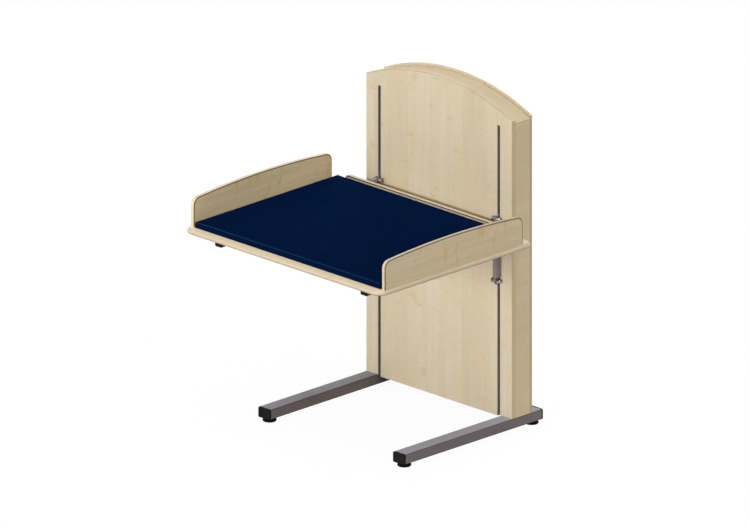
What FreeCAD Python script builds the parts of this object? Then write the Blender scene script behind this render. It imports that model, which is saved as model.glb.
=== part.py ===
import FreeCAD, Part
import math
import os
import Sketcher
from types import SimpleNamespace

# Height-adjustable changing table: an upright board box on two steel feet
# holds a lifting gear, and the table rides up and down in two slots of its front.
# X runs to the right, Y to the back and Z up, with the floor at zero.

drivingSizes = {
    # Upright box of laminated board
    "box_width": 760,
    "panel_thickness": 19,
    "back_thickness": 12,
    "box_core": 74,
    "corner_height": 1215,
    "arch_rise": 82,
    "panel_lap": 5,
    "panel_rounding": 4,
    "back_bevel": 2.5,
    "cover_thickness": 10,
    "cover_recess": 12,
    # Slots of the front panel and the trim that lines them
    "slot_inset": 70,
    "slot_width": 12,
    "slot_top": 1183,
    "liner_wall": 1.5,
    "liner_play": 0.05,
    # Foot tubes and their end caps
    "foot_inset": 30,
    "foot_width": 60,
    "foot_height": 40,
    "foot_wall": 2.5,
    "foot_corner": 5,
    "foot_play": 0.3,
    "foot_front": 560,
    "foot_rear": 160,
    "cap_flange": 4,
    "cap_plug": 14,
    "cap_wall": 3,
    "cap_play": 0.1,
    # Levelling feet
    "leveller_height": 15,
    "leveller_inset": 29,
    "sole_diameter": 52,
    "sole_rim": 6,
    "sole_edge": 2,
    "sole_neck": 18,
    "sole_shoulder": 2.5,
    "sole_floor": 4,
    "stud_diameter": 10,
    "stud_reach": 32,
    "stud_chamfer": 1,
    "thread_play": 0.05,
    "insert_flange": 1.5,
    "insert_flange_diameter": 22,
    "insert_diameter": 14,
    "insert_reach": 12,
    # Beam and rails inside the box
    "beam_gap": 4,
    "beam_width": 60,
    "beam_height": 40,
    "beam_wall": 3,
    "beam_corner": 5,
    "guide_setback": 14,
    "guide_width": 50,
    "guide_depth": 40,
    "guide_wall": 3,
    "guide_mouth": 14,
    "guide_top": 1190,
    "plate_thickness": 6,
    "plate_overhang": 17,
    "plate_margin": 8,
    "tie_thickness": 6,
    "tie_hole_play": 0.5,
    # Spindle, its bearing and its drive
    "spindle_diameter": 20,
    "spindle_play": 0.06,
    "spindle_float": 0.3,
    "top_journal": 12,
    "low_journal": 14,
    "journal_depth": 26,
    "bearing_diameter": 34,
    "bearing_height": 24,
    "bearing_flange": 6,
    "bearing_flange_diameter": 50,
    "gear_width": 90,
    "gear_depth": 50,
    "gear_height": 70,
    "gear_corner": 8,
    "gear_boss": 36,
    "gear_boss_height": 6,
    "gear_flange": 130,
    "gear_bolt_margin": 12,
    "motor_diameter": 50,
    "motor_length": 92,
    "motor_level": 41,
    "motor_flange": 6,
    "motor_flange_diameter": 46,
    "motor_bell": 16,
    "motor_bell_bevel": 6,
    "motor_boss": 12,
    "motor_boss_length": 4,
    # Control box and mains inlet
    "control_gap": 15,
    "control_bottom": 250,
    "control_width": 160,
    "control_height": 100,
    "control_depth": 38,
    "control_corner": 6,
    "control_lid": 4,
    "control_lid_step": 2,
    "inlet_inset": 80,
    "inlet_level": 150,
    "inlet_width": 28,
    "inlet_height": 21,
    "inlet_depth": 30,
    "inlet_corner": 3,
    "inlet_wall": 2,
    "inlet_recess": 22,
    "inlet_rim": 9,
    "inlet_flange": 3,
    "inlet_play": 0.3,
    "pin_width": 4,
    "pin_thickness": 2,
    "pin_length": 16,
    "pin_spacing": 7,
    # Tongues, glides and carriage that carry the table
    "tongue_thickness": 4,
    "tongue_play": 0.5,
    "tongue_corner": 8,
    "tongue_seat": 24,
    "bolt_rise": 37,
    "bolt_drop": 203,
    "bolt_end": 15,
    "bolt_setback": 11,
    "glide_play": 0.3,
    "glide_slot_play": 0.1,
    "glide_height": 60,
    "bar_gap": 2,
    "bar_thickness": 8,
    "bar_height": 60,
    "bracket_thickness": 10,
    "bracket_width": 70,
    "bracket_overhang": 28,
    "gusset_thickness": 5,
    "gusset_height": 25,
    "nut_diameter": 30,
    "nut_reach": 25,
    "nut_flange": 8,
    "nut_flange_diameter": 48,
    "nut_seat_play": 0.1,
    # Hangers in front of the slots and their bolts
    "hanger_width": 20,
    "hanger_depth": 20,
    "hanger_wall": 3,
    "hanger_gap": 2,
    "hanger_corner": 2,
    "hanger_bolt_gap": 13,
    "lug_corner": 7,
    "lug_end": 13,
    "bolt_diameter": 10,
    "bolt_play": 0.1,
    "bolt_flats": 17,
    "bolt_head": 6.4,
    "sleeve_length": 10,
    "sleeve_diameter": 13,
    "nut_hex_height": 9,
    "nut_height": 18,
    "nut_dome_diameter": 16,
    "nut_dome_arc": 9,
    "nut_thread_depth": 12,
    # Table frame
    "arm_size": 35,
    "arm_wall": 2,
    "arm_corner": 4,
    "arm_offset": 68,
    "arm_front_inset": 51,
    "arm_cap_flange": 4,
    "arm_cap_plug": 18,
    "arm_cap_wall": 2.5,
    # Table board, side boards, back rail and pad
    "table_width": 1024,
    "table_reach": 820,
    "table_gap": 15,
    "table_thickness": 19,
    "table_height": 783,
    "table_corner": 40,
    "table_edge_flat": 0.2,
    "notch_play": 0.75,
    "side_board_thickness": 16,
    "side_board_inset": 8,
    "side_board_front_inset": 34,
    "side_board_back_inset": 53,
    "side_board_height": 127,
    "side_board_crown": 3700,
    "side_board_corner": 29,
    "board_rounding": 3,
    "back_rail_end_inset": 67,
    "back_rail_thickness": 18,
    "back_rail_rise": 30,
    "back_rail_setback": 11,
    "back_rail_corner": 14,
    "pad_side_gap": 6,
    "pad_front_inset": 36,
    "pad_rail_gap": 2,
    "pad_thickness": 24,
    "pad_corner": 10,
    "pad_draw": 3,
    "pad_edge": 5,
    "pad_crown": 3,
    "pad_crown_reach": 60,
    # Screws
    "frame_bolt_diameter": 8,
    "frame_bolt_flats": 13,
    "frame_bolt_head": 5.3,
    "frame_bolt_grip": 10,
    "screw_play": 0.1,
    "table_screw_diameter": 6,
    "table_screw_head": 12,
    "table_screw_head_height": 3.5,
    "table_screw_bite": 13,
    "table_screw_end": 70,
    "board_screw_diameter": 4.5,
    "board_screw_head": 9,
    "board_screw_head_height": 2.5,
    "board_screw_bite": 30,
    "board_screw_sink": 0.3,
    "board_screw_cover": 9,
    "board_screw_end": 90,
    "panel_screw_end": 60,
    "screw_tip": 0.5,
    "dowel_diameter": 8,
    "dowel_front": 12,
    "dowel_side": 20,
    "dowel_end": 100,
    # Switch under the front edge
    "switch_left": 170,
    "switch_front_inset": 62,
    "switch_width": 84,
    "switch_depth": 52,
    "switch_height": 23,
    "switch_wall": 2.5,
    "switch_corner": 4,
    "button_width": 26,
    "button_height": 12,
    "button_corner": 2.5,
    "button_bevel": 1,
    "button_spacing": 36,
    "button_play": 0.4,
    "button_proud": 4,
    "button_lip": 2,
    "button_lip_thickness": 2,
    "button_stem": 8,
}


class Length:
    # A number that also keeps the expression which ties it to the size sheet

    def __init__(self, text, value):
        self.text = text
        self.value = value

    def __add__(self, other):
        return merged(self, "+", other, self.value + amount(other))

    def __radd__(self, other):
        return merged(other, "+", self, amount(other) + self.value)

    def __sub__(self, other):
        return merged(self, "-", other, self.value - amount(other))

    def __rsub__(self, other):
        return merged(other, "-", self, amount(other) - self.value)

    def __mul__(self, other):
        return merged(self, "*", other, self.value * amount(other))

    def __rmul__(self, other):
        return merged(other, "*", self, amount(other) * self.value)

    def __truediv__(self, other):
        return merged(self, "/", other, self.value / amount(other))

    def __neg__(self):
        return merged(0, "-", self, -self.value)


def amount(item):
    return item.value if isinstance(item, Length) else item


def wording(item):
    return item.text if isinstance(item, Length) else f"({float(item)!r})"


def merged(first, sign, second, value):
    return Length(f"({wording(first)} {sign} {wording(second)})", value)


def root(item):
    return Length(f"sqrt({item.text})", math.sqrt(item.value))


def fillSheet():
    sheet = doc.addObject("Spreadsheet::Sheet", "Sizes")
    names = {}
    for row, (name, number) in enumerate(drivingSizes.items(), start=1):
        sheet.set(f"A{row}", name)
        sheet.set(f"B{row}", str(number))
        sheet.setAlias(f"B{row}", name)
        names[name] = Length(f"Sizes.{name}", number)
    doc.recompute()
    return SimpleNamespace(**names)


doc = FreeCAD.newDocument("changing_table")
size = fillSheet()
subparts = []


# Helpers that keep every size tied to the sheet

def bind(item, path, length):
    item.setExpression(path, wording(length))


def settle(item, x=0, y=0, z=0):
    bind(item, "Placement.Base.x", x)
    bind(item, "Placement.Base.y", y)
    bind(item, "Placement.Base.z", z)


def newBody(name, x=0, y=0, z=0, node=True):
    body = doc.addObject("PartDesign::Body", name)
    body.Label = name
    body.AllowCompound = False
    settle(body, x, y, z)
    if node:
        subparts.append(body)
    return body


def newSketch(body, plane, loops, offset=0):
    sketch = body.newObject("Sketcher::SketchObject", f"{body.Name}_outline")
    support = [item for item in body.Origin.OriginFeatures if item.Role == plane][0]
    sketch.AttachmentSupport = (support, [""])
    sketch.MapMode = "FlatFace"
    bind(sketch, "AttachmentOffset.Base.z", offset)
    for loop in loops:
        if isinstance(loop, list):
            addLoop(sketch, loop)
        else:
            addCircle(sketch, *loop)
    return sketch


def addCircle(sketch, x, y, radius):
    middle = FreeCAD.Vector(amount(x), amount(y), 0)
    circle = Part.Circle(middle, FreeCAD.Vector(0, 0, 1), amount(radius))
    index = sketch.addGeometry(circle, False)
    limits = [
        ("DistanceX", (-1, 1, index, 3), x),
        ("DistanceY", (-1, 1, index, 3), y),
        ("Radius", (index,), radius),
    ]
    addLimits(sketch, limits)


def addLoop(sketch, corners):
    # Corners run anticlockwise; a third entry is the radius of the arc that ends there,
    # and a fourth marks an arc that turns the other way.
    ends = []
    limits = []
    for index, corner in enumerate(corners):
        start = corners[index - 1]
        geometry, first, last = edgeBetween(start, corner)
        edge = sketch.addGeometry(geometry, False)
        ends.append((edge, first, last))
        limits.append(("DistanceX", (-1, 1, edge, last), corner[0]))
        limits.append(("DistanceY", (-1, 1, edge, last), corner[1]))
        if len(corner) > 2:
            limits.append(("Radius", (edge,), corner[2]))
    joins = []
    for index, (edge, first, last) in enumerate(ends):
        before, beforeFirst, beforeLast = ends[index - 1]
        joins.append(Sketcher.Constraint("Coincident", before, beforeLast, edge, first))
    sketch.addConstraint(joins)
    addLimits(sketch, limits)


def addLimits(sketch, limits):
    made = [Sketcher.Constraint(kind, *where, float(amount(length))) for kind, where, length in limits]
    for index, (kind, where, length) in zip(sketch.addConstraint(made), limits):
        if isinstance(length, Length):
            sketch.setExpression(f"Constraints[{index}]", length.text)


def edgeBetween(start, corner):
    first = FreeCAD.Vector(amount(start[0]), amount(start[1]), 0)
    last = FreeCAD.Vector(amount(corner[0]), amount(corner[1]), 0)
    if len(corner) == 2:
        return Part.LineSegment(first, last), 1, 2
    backwards = len(corner) > 3
    if backwards:
        first, last = last, first
    radius = amount(corner[2])
    chord = last - first
    height = math.sqrt(max(radius ** 2 - chord.Length ** 2 / 4, 0))
    across = FreeCAD.Vector(-chord.y, chord.x, 0).normalize()
    middle = (first + last) / 2 + across * height
    begin = math.atan2(first.y - middle.y, first.x - middle.x)
    finish = math.atan2(last.y - middle.y, last.x - middle.x)
    if finish < begin:
        finish += 2 * math.pi
    arc = Part.ArcOfCircle(Part.Circle(middle, FreeCAD.Vector(0, 0, 1), radius), begin, finish)
    return (arc, 2, 1) if backwards else (arc, 1, 2)


def rectangle(left, low, right, high):
    return [(left, low), (right, low), (right, high), (left, high)]


def roundedRectangle(left, low, right, high, corner):
    return [
        (right - corner, low),
        (right, low + corner, corner),
        (right, high - corner),
        (right - corner, high, corner),
        (left + corner, high),
        (left, high - corner, corner),
        (left, low + corner),
        (left + corner, low, corner),
    ]


def hexagon(flats):
    side = flats / math.sqrt(3)
    return [
        (flats / 2, -side / 2),
        (flats / 2, side / 2),
        (0, side),
        (-flats / 2, side / 2),
        (-flats / 2, -side / 2),
        (0, -side),
    ]


def mirrored(corners):
    turned = []
    for index in range(len(corners) - 1, -1, -1):
        following = corners[(index + 1) % len(corners)]
        turned.append((-corners[index][0], corners[index][1]) + tuple(following[2:]))
    return turned


def pad(body, sketch, length, backwards=False):
    feature = body.newObject("PartDesign::Pad", f"{body.Name}_pad")
    feature.Profile = sketch
    feature.Reversed = backwards
    bind(feature, "Length", length)
    return feature


def pocket(body, sketch, length, backwards=False):
    doc.recompute()
    volume = body.Shape.Volume
    feature = body.newObject("PartDesign::Pocket", f"{body.Name}_pocket")
    feature.Profile = sketch
    feature.Reversed = backwards
    bind(feature, "Length", length)
    doc.recompute()
    if body.Shape.Volume > volume - touch:
        raise RuntimeError(f"a pocket of {body.Label} cuts nothing")
    return feature


def turn(body, sketch, axis="V_Axis"):
    feature = body.newObject("PartDesign::Revolution", f"{body.Name}_turn")
    feature.Profile = sketch
    feature.ReferenceAxis = (sketch, [axis])
    feature.Angle = 360
    return feature


def chosenEdges(feature, chosen):
    doc.recompute()
    return [f"Edge{number}" for number, edge in enumerate(feature.Shape.Edges, start=1) if chosen(edge)]


def fillet(body, feature, radius, chosen):
    edges = chosenEdges(feature, chosen)
    rounding = body.newObject("PartDesign::Fillet", f"{body.Name}_rounding")
    rounding.Base = (feature, edges)
    bind(rounding, "Radius", radius)


def chamfer(body, feature, width, chosen):
    edges = chosenEdges(feature, chosen)
    bevel = body.newObject("PartDesign::Chamfer", f"{body.Name}_bevel")
    bevel.Base = (feature, edges)
    bind(bevel, "Size", width)


def middleOf(edge):
    return edge.valueAt((edge.FirstParameter + edge.LastParameter) / 2)


def group(name, master, places):
    # One node of like pieces: each place is x, y, z and a rotation
    copies = []
    for x, y, z, rotation in places:
        copy = doc.addObject("App::Link", f"{name}_copy")
        copy.LinkedObject = master
        copy.Placement = FreeCAD.Placement(FreeCAD.Vector(), rotation)
        settle(copy, x, y, z)
        copies.append(copy)
    compound = doc.addObject("Part::Compound", name)
    compound.Label = name
    compound.Links = copies
    subparts.append(compound)


def rotation(axis, angle):
    return FreeCAD.Rotation(FreeCAD.Vector(*axis), angle)


upright = FreeCAD.Rotation()
halfTurn = rotation((0, 0, 1), 180)
alongRight = rotation((0, 1, 0), 90)
alongLeft = rotation((0, 1, 0), -90)
alongBack = rotation((1, 0, 0), -90)
sides = {"left": -1, "right": 1}
touch = 0.01

# Places that several pieces share
face = (size.table_reach - size.foot_rear) / 2
footTop = size.leveller_height + size.foot_height
halfBox = size.box_width / 2
innerBox = halfBox - size.panel_thickness
coreFront = face + size.panel_thickness
coreBack = coreFront + size.box_core
boxBack = coreBack + size.back_thickness
archRadius = halfBox * halfBox / (size.arch_rise * 2) + size.arch_rise / 2
archCentre = size.corner_height + size.arch_rise - archRadius
coverArch = archRadius - size.cover_recess
underArch = coverArch - size.cover_thickness
slotX = halfBox - size.slot_inset
footX = halfBox - size.foot_inset
guideInner = slotX - size.guide_width / 2
controlLeft = guideInner - size.control_gap - size.control_width
inletX = slotX - size.inlet_inset
beamTop = footTop + size.beam_height
railFront = coreFront + size.guide_setback
spindleY = railFront + size.guide_depth / 2
gearTop = beamTop + size.gear_height + size.gear_boss_height
plateBoltX = size.guide_width / 2 + size.plate_overhang / 2
gearBoltX = (size.gear_flange + size.gear_width) / 4
gearBoltY = size.gear_depth / 2 - size.gear_bolt_margin
boardBottom = size.table_height - size.table_thickness
tableSide = size.table_width / 2
tableFront = face - size.table_reach
tableBack = face - size.table_gap
hangerBack = face - size.hanger_gap
hangerFront = hangerBack - size.hanger_depth
highBolt = size.table_height + size.bolt_rise
lowBolt = size.table_height - size.bolt_drop
carriageZ = (highBolt + lowBolt) / 2
boltY = face - size.bolt_setback
lap = size.tongue_thickness * 1.5
armX = slotX + size.arm_offset
armInner = armX - size.arm_size / 2
armFront = tableFront + size.arm_front_inset
sideBoardX = tableSide - size.side_board_inset - size.side_board_thickness / 2
sideBoardFront = tableFront + size.side_board_front_inset
sideBoardBack = tableBack - size.side_board_back_inset
sideBoardMiddle = (sideBoardFront + sideBoardBack) / 2
sideBoardHalf = (sideBoardBack - sideBoardFront) / 2
backRailHalf = tableSide - size.back_rail_end_inset
backRailFront = tableBack - size.back_rail_setback - size.back_rail_thickness
padHalf = sideBoardX - size.side_board_thickness / 2 - size.pad_side_gap
padFront = tableFront + size.pad_front_inset
padBack = backRailFront - size.pad_rail_gap
switchFront = tableFront + size.switch_front_inset


def archAt(radius, x):
    return archCentre + root(radius * radius - x * x)


def inset(count, low, high):
    # Evenly spaced places from low to high
    return [low + (high - low) * (number / (count - 1)) for number in range(count)]


tableScrewYs = inset(3, armFront + size.table_screw_end, hangerFront - size.table_screw_end)
boardScrewHalf = sideBoardHalf - size.board_screw_end
boardScrewYs = inset(3, sideBoardMiddle - boardScrewHalf, sideBoardMiddle + boardScrewHalf)
railScrewHalf = backRailHalf - size.board_screw_end
railScrewXs = inset(4, -railScrewHalf, railScrewHalf)
screwSeat = size.board_screw_head_height + size.board_screw_sink
boardBite = size.back_rail_rise - size.board_screw_cover
panelScrewX = halfBox - size.panel_thickness / 2
panelScrewZs = inset(5, footTop + size.panel_screw_end, size.corner_height - size.panel_screw_end)
dowelZs = inset(4, footTop + size.dowel_end, size.corner_height - size.dowel_end)


# Feet

def footTube(side):
    length = size.foot_front + size.foot_rear - size.cap_flange * 2
    start = face - size.foot_front + size.cap_flange
    body = newBody(f"{side}_foot_tube", sides[side] * footX, start)
    half = size.foot_width / 2
    wall = size.foot_wall
    outer = roundedRectangle(-half, size.leveller_height, half, footTop, size.foot_corner)
    inner = roundedRectangle(
        -half + wall, size.leveller_height + wall, half - wall, footTop - wall, size.foot_corner - wall
    )
    pad(body, newSketch(body, "XZ_Plane", [outer, inner]), length, backwards=True)
    hole = size.insert_diameter / 2 + size.screw_play
    near = size.leveller_inset - size.cap_flange
    holes = newSketch(body, "XY_Plane", [(0, near, hole), (0, length - near, hole)])
    pocket(body, holes, size.leveller_height + wall * 2, backwards=True)


def tubeCap(name, width, low, high, corner, wall, flange, plug, plugWall):
    # A moulded cap: a flange over the tube's end and a hollow plug that fits inside the tube
    body = newBody(name, node=False)
    half = width / 2
    fit = wall + size.cap_play
    pad(body, newSketch(body, "XZ_Plane", [roundedRectangle(-half, low, half, high, corner)]), flange)
    outer = roundedRectangle(-half + fit, low + fit, half - fit, high - fit, corner - wall)
    fit = fit + plugWall
    inner = rectangle(-half + fit, low + fit, half - fit, high - fit)
    pad(body, newSketch(body, "XZ_Plane", [outer, inner]), plug, backwards=True)
    return body


def footCaps():
    master = tubeCap(
        "foot_cap", size.foot_width, size.leveller_height, footTop, size.foot_corner,
        size.foot_wall, size.cap_flange, size.cap_plug, size.cap_wall
    )
    places = []
    for sign in sides.values():
        x = sign * footX
        places.append((x, face - size.foot_front + size.cap_flange, 0, upright))
        places.append((x, face + size.foot_rear - size.cap_flange, 0, halfTurn))
    group("foot_end_caps", master, places)


def levellerPlaces():
    ends = {
        "front": face - size.foot_front + size.leveller_inset,
        "rear": face + size.foot_rear - size.leveller_inset,
    }
    for end, y in ends.items():
        for side, sign in sides.items():
            yield f"{end}_{side}", sign * footX, y


def levellerInserts():
    master = newBody("leveller_insert", node=False)
    bore = size.stud_diameter / 2 + size.thread_play
    low = size.leveller_height - size.insert_flange
    top = size.leveller_height + size.foot_wall + size.insert_reach
    profile = [
        (bore, low),
        (size.insert_flange_diameter / 2, low),
        (size.insert_flange_diameter / 2, size.leveller_height),
        (size.insert_diameter / 2, size.leveller_height),
        (size.insert_diameter / 2, top),
        (bore, top),
    ]
    turn(master, newSketch(master, "XZ_Plane", [profile]))
    group("leveller_inserts", master, [(x, y, 0, upright) for name, x, y in levellerPlaces()])


def levellers():
    sole = size.sole_diameter / 2
    neck = size.sole_neck / 2
    top = size.leveller_height - size.insert_flange
    stud = size.stud_diameter / 2
    socket = stud + size.thread_play
    tip = size.leveller_height + size.stud_reach
    soleProfile = [
        (0, 0),
        (sole - size.sole_edge, 0),
        (sole, size.sole_edge),
        (sole, size.sole_rim),
        (neck, top - size.sole_shoulder),
        (neck, top),
        (socket, top),
        (socket, size.sole_floor),
        (0, size.sole_floor),
    ]
    studProfile = [
        (0, size.sole_floor),
        (stud, size.sole_floor),
        (stud, tip - size.stud_chamfer),
        (stud - size.stud_chamfer, tip),
        (0, tip),
    ]
    for name, x, y in levellerPlaces():
        foot = newBody(f"{name}_leveller_sole", x, y)
        turn(foot, newSketch(foot, "XZ_Plane", [soleProfile]))
        stem = newBody(f"{name}_leveller_stud", x, y)
        turn(stem, newSketch(stem, "XZ_Plane", [studProfile]))


# Lifting gear inside the box

def baseCrossbeam():
    front = coreFront + size.beam_gap
    wall = size.beam_wall
    body = newBody("base_crossbeam", -innerBox)
    outer = roundedRectangle(front, footTop, front + size.beam_width, beamTop, size.beam_corner)
    inner = roundedRectangle(
        front + wall, footTop + wall, front + size.beam_width - wall, beamTop - wall, size.beam_corner - wall
    )
    pad(body, newSketch(body, "YZ_Plane", [outer, inner]), innerBox * 2)
    hole = size.frame_bolt_diameter / 2 + size.screw_play
    holes = [(innerBox + x, y, hole) for x, y in frameBoltPlaces()]
    pocket(body, newSketch(body, "XY_Plane", [*holes], beamTop), size.beam_wall * 2)


def frameBoltPlaces():
    for sign in sides.values():
        for way in (-1, 1):
            yield sign * slotX + way * plateBoltX, spindleY
            yield sign * gearBoltX, spindleY + way * gearBoltY


def guideRail(side):
    half = size.guide_width / 2
    wall = size.guide_wall
    depth = size.guide_depth
    mouth = size.guide_mouth / 2
    plate = half + size.plate_overhang
    margin = size.plate_margin
    hole = size.frame_bolt_diameter / 2 + size.screw_play
    body = newBody(f"{side}_guide_rail", sides[side] * slotX, railFront, beamTop)
    base = rectangle(-plate, -margin, plate, depth + margin)
    holes = [(-plateBoltX, depth / 2, hole), (plateBoltX, depth / 2, hole)]
    pad(body, newSketch(body, "XY_Plane", [base, *holes]), size.plate_thickness)
    channel = [
        (mouth, 0),
        (half, 0),
        (half, depth),
        (-half, depth),
        (-half, 0),
        (-mouth, 0),
        (-mouth, wall),
        (-half + wall, wall),
        (-half + wall, depth - wall),
        (half - wall, depth - wall),
        (half - wall, wall),
        (mouth, wall),
    ]
    height = size.guide_top - beamTop - size.plate_thickness
    pad(body, newSketch(body, "XY_Plane", [channel], size.plate_thickness), height)


def topTie():
    half = slotX + size.guide_width / 2
    body = newBody("top_tie", 0, railFront, size.guide_top)
    outline = rectangle(-half, 0, half, size.guide_depth)
    hole = (0, size.guide_depth / 2, size.top_journal / 2 + size.tie_hole_play)
    pad(body, newSketch(body, "XY_Plane", [outline, hole]), size.tie_thickness)


def spindleBearing():
    body = newBody("spindle_top_bearing", 0, spindleY, size.guide_top)
    bore = size.top_journal / 2 + size.spindle_play
    low = -size.bearing_height
    profile = [
        (bore, low),
        (size.bearing_diameter / 2, low),
        (size.bearing_diameter / 2, -size.bearing_flange),
        (size.bearing_flange_diameter / 2, -size.bearing_flange),
        (size.bearing_flange_diameter / 2, 0),
        (bore, 0),
    ]
    turn(body, newSketch(body, "XZ_Plane", [profile]))


def liftSpindle():
    body = newBody("lift_spindle", 0, spindleY)
    low = size.low_journal / 2
    main = size.spindle_diameter / 2
    top = size.top_journal / 2
    shoulder = size.guide_top - size.bearing_height - size.spindle_float
    seat = gearTop + size.spindle_float
    foot = gearTop - size.journal_depth + size.spindle_float
    profile = [
        (0, foot),
        (low, foot),
        (low, seat),
        (main, seat),
        (main, shoulder),
        (top, shoulder),
        (top, size.guide_top),
        (0, size.guide_top),
    ]
    turn(body, newSketch(body, "XZ_Plane", [profile]))


def gearboxHousing():
    body = newBody("gearbox_housing", 0, spindleY, beamTop)
    wide = size.gear_flange / 2
    half = size.gear_width / 2
    deep = size.gear_depth / 2
    hole = size.frame_bolt_diameter / 2 + size.screw_play
    holes = [(sx * gearBoltX, sy * gearBoltY, hole) for sx in (-1, 1) for sy in (-1, 1)]
    flange = roundedRectangle(-wide, -deep, wide, deep, size.gear_corner)
    pad(body, newSketch(body, "XY_Plane", [flange, *holes]), size.plate_thickness)
    housing = roundedRectangle(-half, -deep, half, deep, size.gear_corner)
    pad(body, newSketch(body, "XY_Plane", [housing]), size.gear_height)
    boss = newSketch(body, "XY_Plane", [(0, 0, size.gear_boss / 2)], size.gear_height)
    pad(body, boss, size.gear_boss_height)
    bore = (0, 0, size.low_journal / 2 + size.spindle_play)
    mouth = newSketch(body, "XY_Plane", [bore], size.gear_height + size.gear_boss_height)
    pocket(body, mouth, size.journal_depth)


def driveMotor():
    body = newBody("drive_motor", -size.gear_width / 2, spindleY, beamTop + size.motor_level)
    flange = size.motor_flange_diameter / 2
    can = size.motor_diameter / 2
    bell = can - size.motor_bell_bevel / 2
    boss = size.motor_boss / 2
    step = -size.motor_flange
    rear = step - size.motor_length
    end = rear - size.motor_bell
    profile = [
        (0, 0),
        (0, flange),
        (step, flange),
        (step, can),
        (rear, can),
        (rear, bell),
        (end + size.motor_bell_bevel, bell),
        (end, bell - size.motor_bell_bevel),
        (end, boss),
        (end - size.motor_boss_length, boss),
        (end - size.motor_boss_length, 0),
    ]
    turn(body, newSketch(body, "XZ_Plane", [profile]), "H_Axis")


def controlBox():
    body = newBody("control_box", controlLeft, coreBack - size.control_depth, size.control_bottom)
    lid = size.control_lid
    step = size.control_lid_step
    wide = size.control_width
    tall = size.control_height
    tray = newSketch(body, "XZ_Plane", [roundedRectangle(0, 0, wide, tall, size.control_corner)], -lid)
    pad(body, tray, size.control_depth - lid, backwards=True)
    cover = roundedRectangle(step, step, wide - step, tall - step, size.control_corner - step)
    pad(body, newSketch(body, "XZ_Plane", [cover]), lid, backwards=True)


def mainsInlet():
    half = size.inlet_width / 2
    tall = size.inlet_height / 2
    rim = size.inlet_rim
    wall = size.inlet_wall
    body = newBody("mains_inlet", -inletX, boxBack, size.inlet_level)
    flange = roundedRectangle(-half - rim, -tall - rim / 2, half + rim, tall + rim / 2, size.inlet_corner)
    pad(body, newSketch(body, "XZ_Plane", [flange]), size.inlet_flange, backwards=True)
    shell = roundedRectangle(-half, -tall, half, tall, size.inlet_corner)
    pad(body, newSketch(body, "XZ_Plane", [shell]), size.inlet_depth)
    corner = size.inlet_corner - wall / 2
    recess = roundedRectangle(-half + wall, -tall + wall, half - wall, tall - wall, corner)
    pocket(body, newSketch(body, "XZ_Plane", [recess], -size.inlet_flange), size.inlet_recess, backwards=True)


def inletPins():
    pin = newBody("inlet_pin", node=False)
    half = size.pin_thickness / 2
    tall = size.pin_width / 2
    blade = newSketch(pin, "XZ_Plane", [rectangle(-half, -tall, half, tall)])
    pad(pin, blade, size.pin_length, backwards=True)
    floor = boxBack + size.inlet_flange - size.inlet_recess
    spread = [(-size.pin_spacing, 0), (0, size.pin_width / 2), (size.pin_spacing, 0)]
    places = [(x - inletX, floor, size.inlet_level + z, upright) for x, z in spread]
    group("inlet_pins", pin, places)


def hexBolt(name, diameter, flats, head, grip):
    # A hex bolt along Z: the head ends at zero and the shank runs up
    body = newBody(name, node=False)
    pad(body, newSketch(body, "XY_Plane", [hexagon(flats)]), head, backwards=True)
    pad(body, newSketch(body, "XY_Plane", [(0, 0, diameter / 2)]), grip)
    return body


def frameBolts():
    grip = size.plate_thickness + size.beam_wall + size.frame_bolt_grip
    master = hexBolt(
        "frame_bolt", size.frame_bolt_diameter, size.frame_bolt_flats, size.frame_bolt_head, grip
    )
    down = rotation((1, 0, 0), 180)
    places = [(x, y, beamTop + size.plate_thickness, down) for x, y in frameBoltPlaces()]
    group("frame_bolts", master, places)


# Box of boards

def slotArch(x, low):
    # The round-topped slot, walked up its left wall and down its right one
    half = size.slot_width / 2
    return [
        (x - half, low),
        (x - half, size.slot_top - half),
        (x, size.slot_top, half, "inward"),
        (x + half, size.slot_top - half, half, "inward"),
        (x + half, footTop),
    ]


def frontPanel():
    body = newBody("front_panel", 0, face)
    low = footTop - size.panel_lap
    right = slotArch(slotX, low)
    left = mirrored(right)
    outline = [
        *right,
        (halfBox, footTop),
        (halfBox, size.corner_height),
        (-halfBox, size.corner_height, archRadius),
        (-halfBox, footTop),
        *left,
    ]
    panel = pad(body, newSketch(body, "XZ_Plane", [outline]), size.panel_thickness, backwards=True)
    reach = amount(halfBox) - touch

    def showing(edge):
        place = middleOf(edge)
        outer = abs(place.x) > reach or place.z > amount(size.corner_height)
        return outer and edge.BoundBox.YMax < touch

    fillet(body, panel, size.panel_rounding, showing)
    hole = size.dowel_diameter / 2 + size.screw_play
    holes = [(sign * panelScrewX, z, hole) for sign in sides.values() for z in dowelZs]
    rear = newSketch(body, "XZ_Plane", holes, -size.panel_thickness)
    pocket(body, rear, size.dowel_front, backwards=True)


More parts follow.
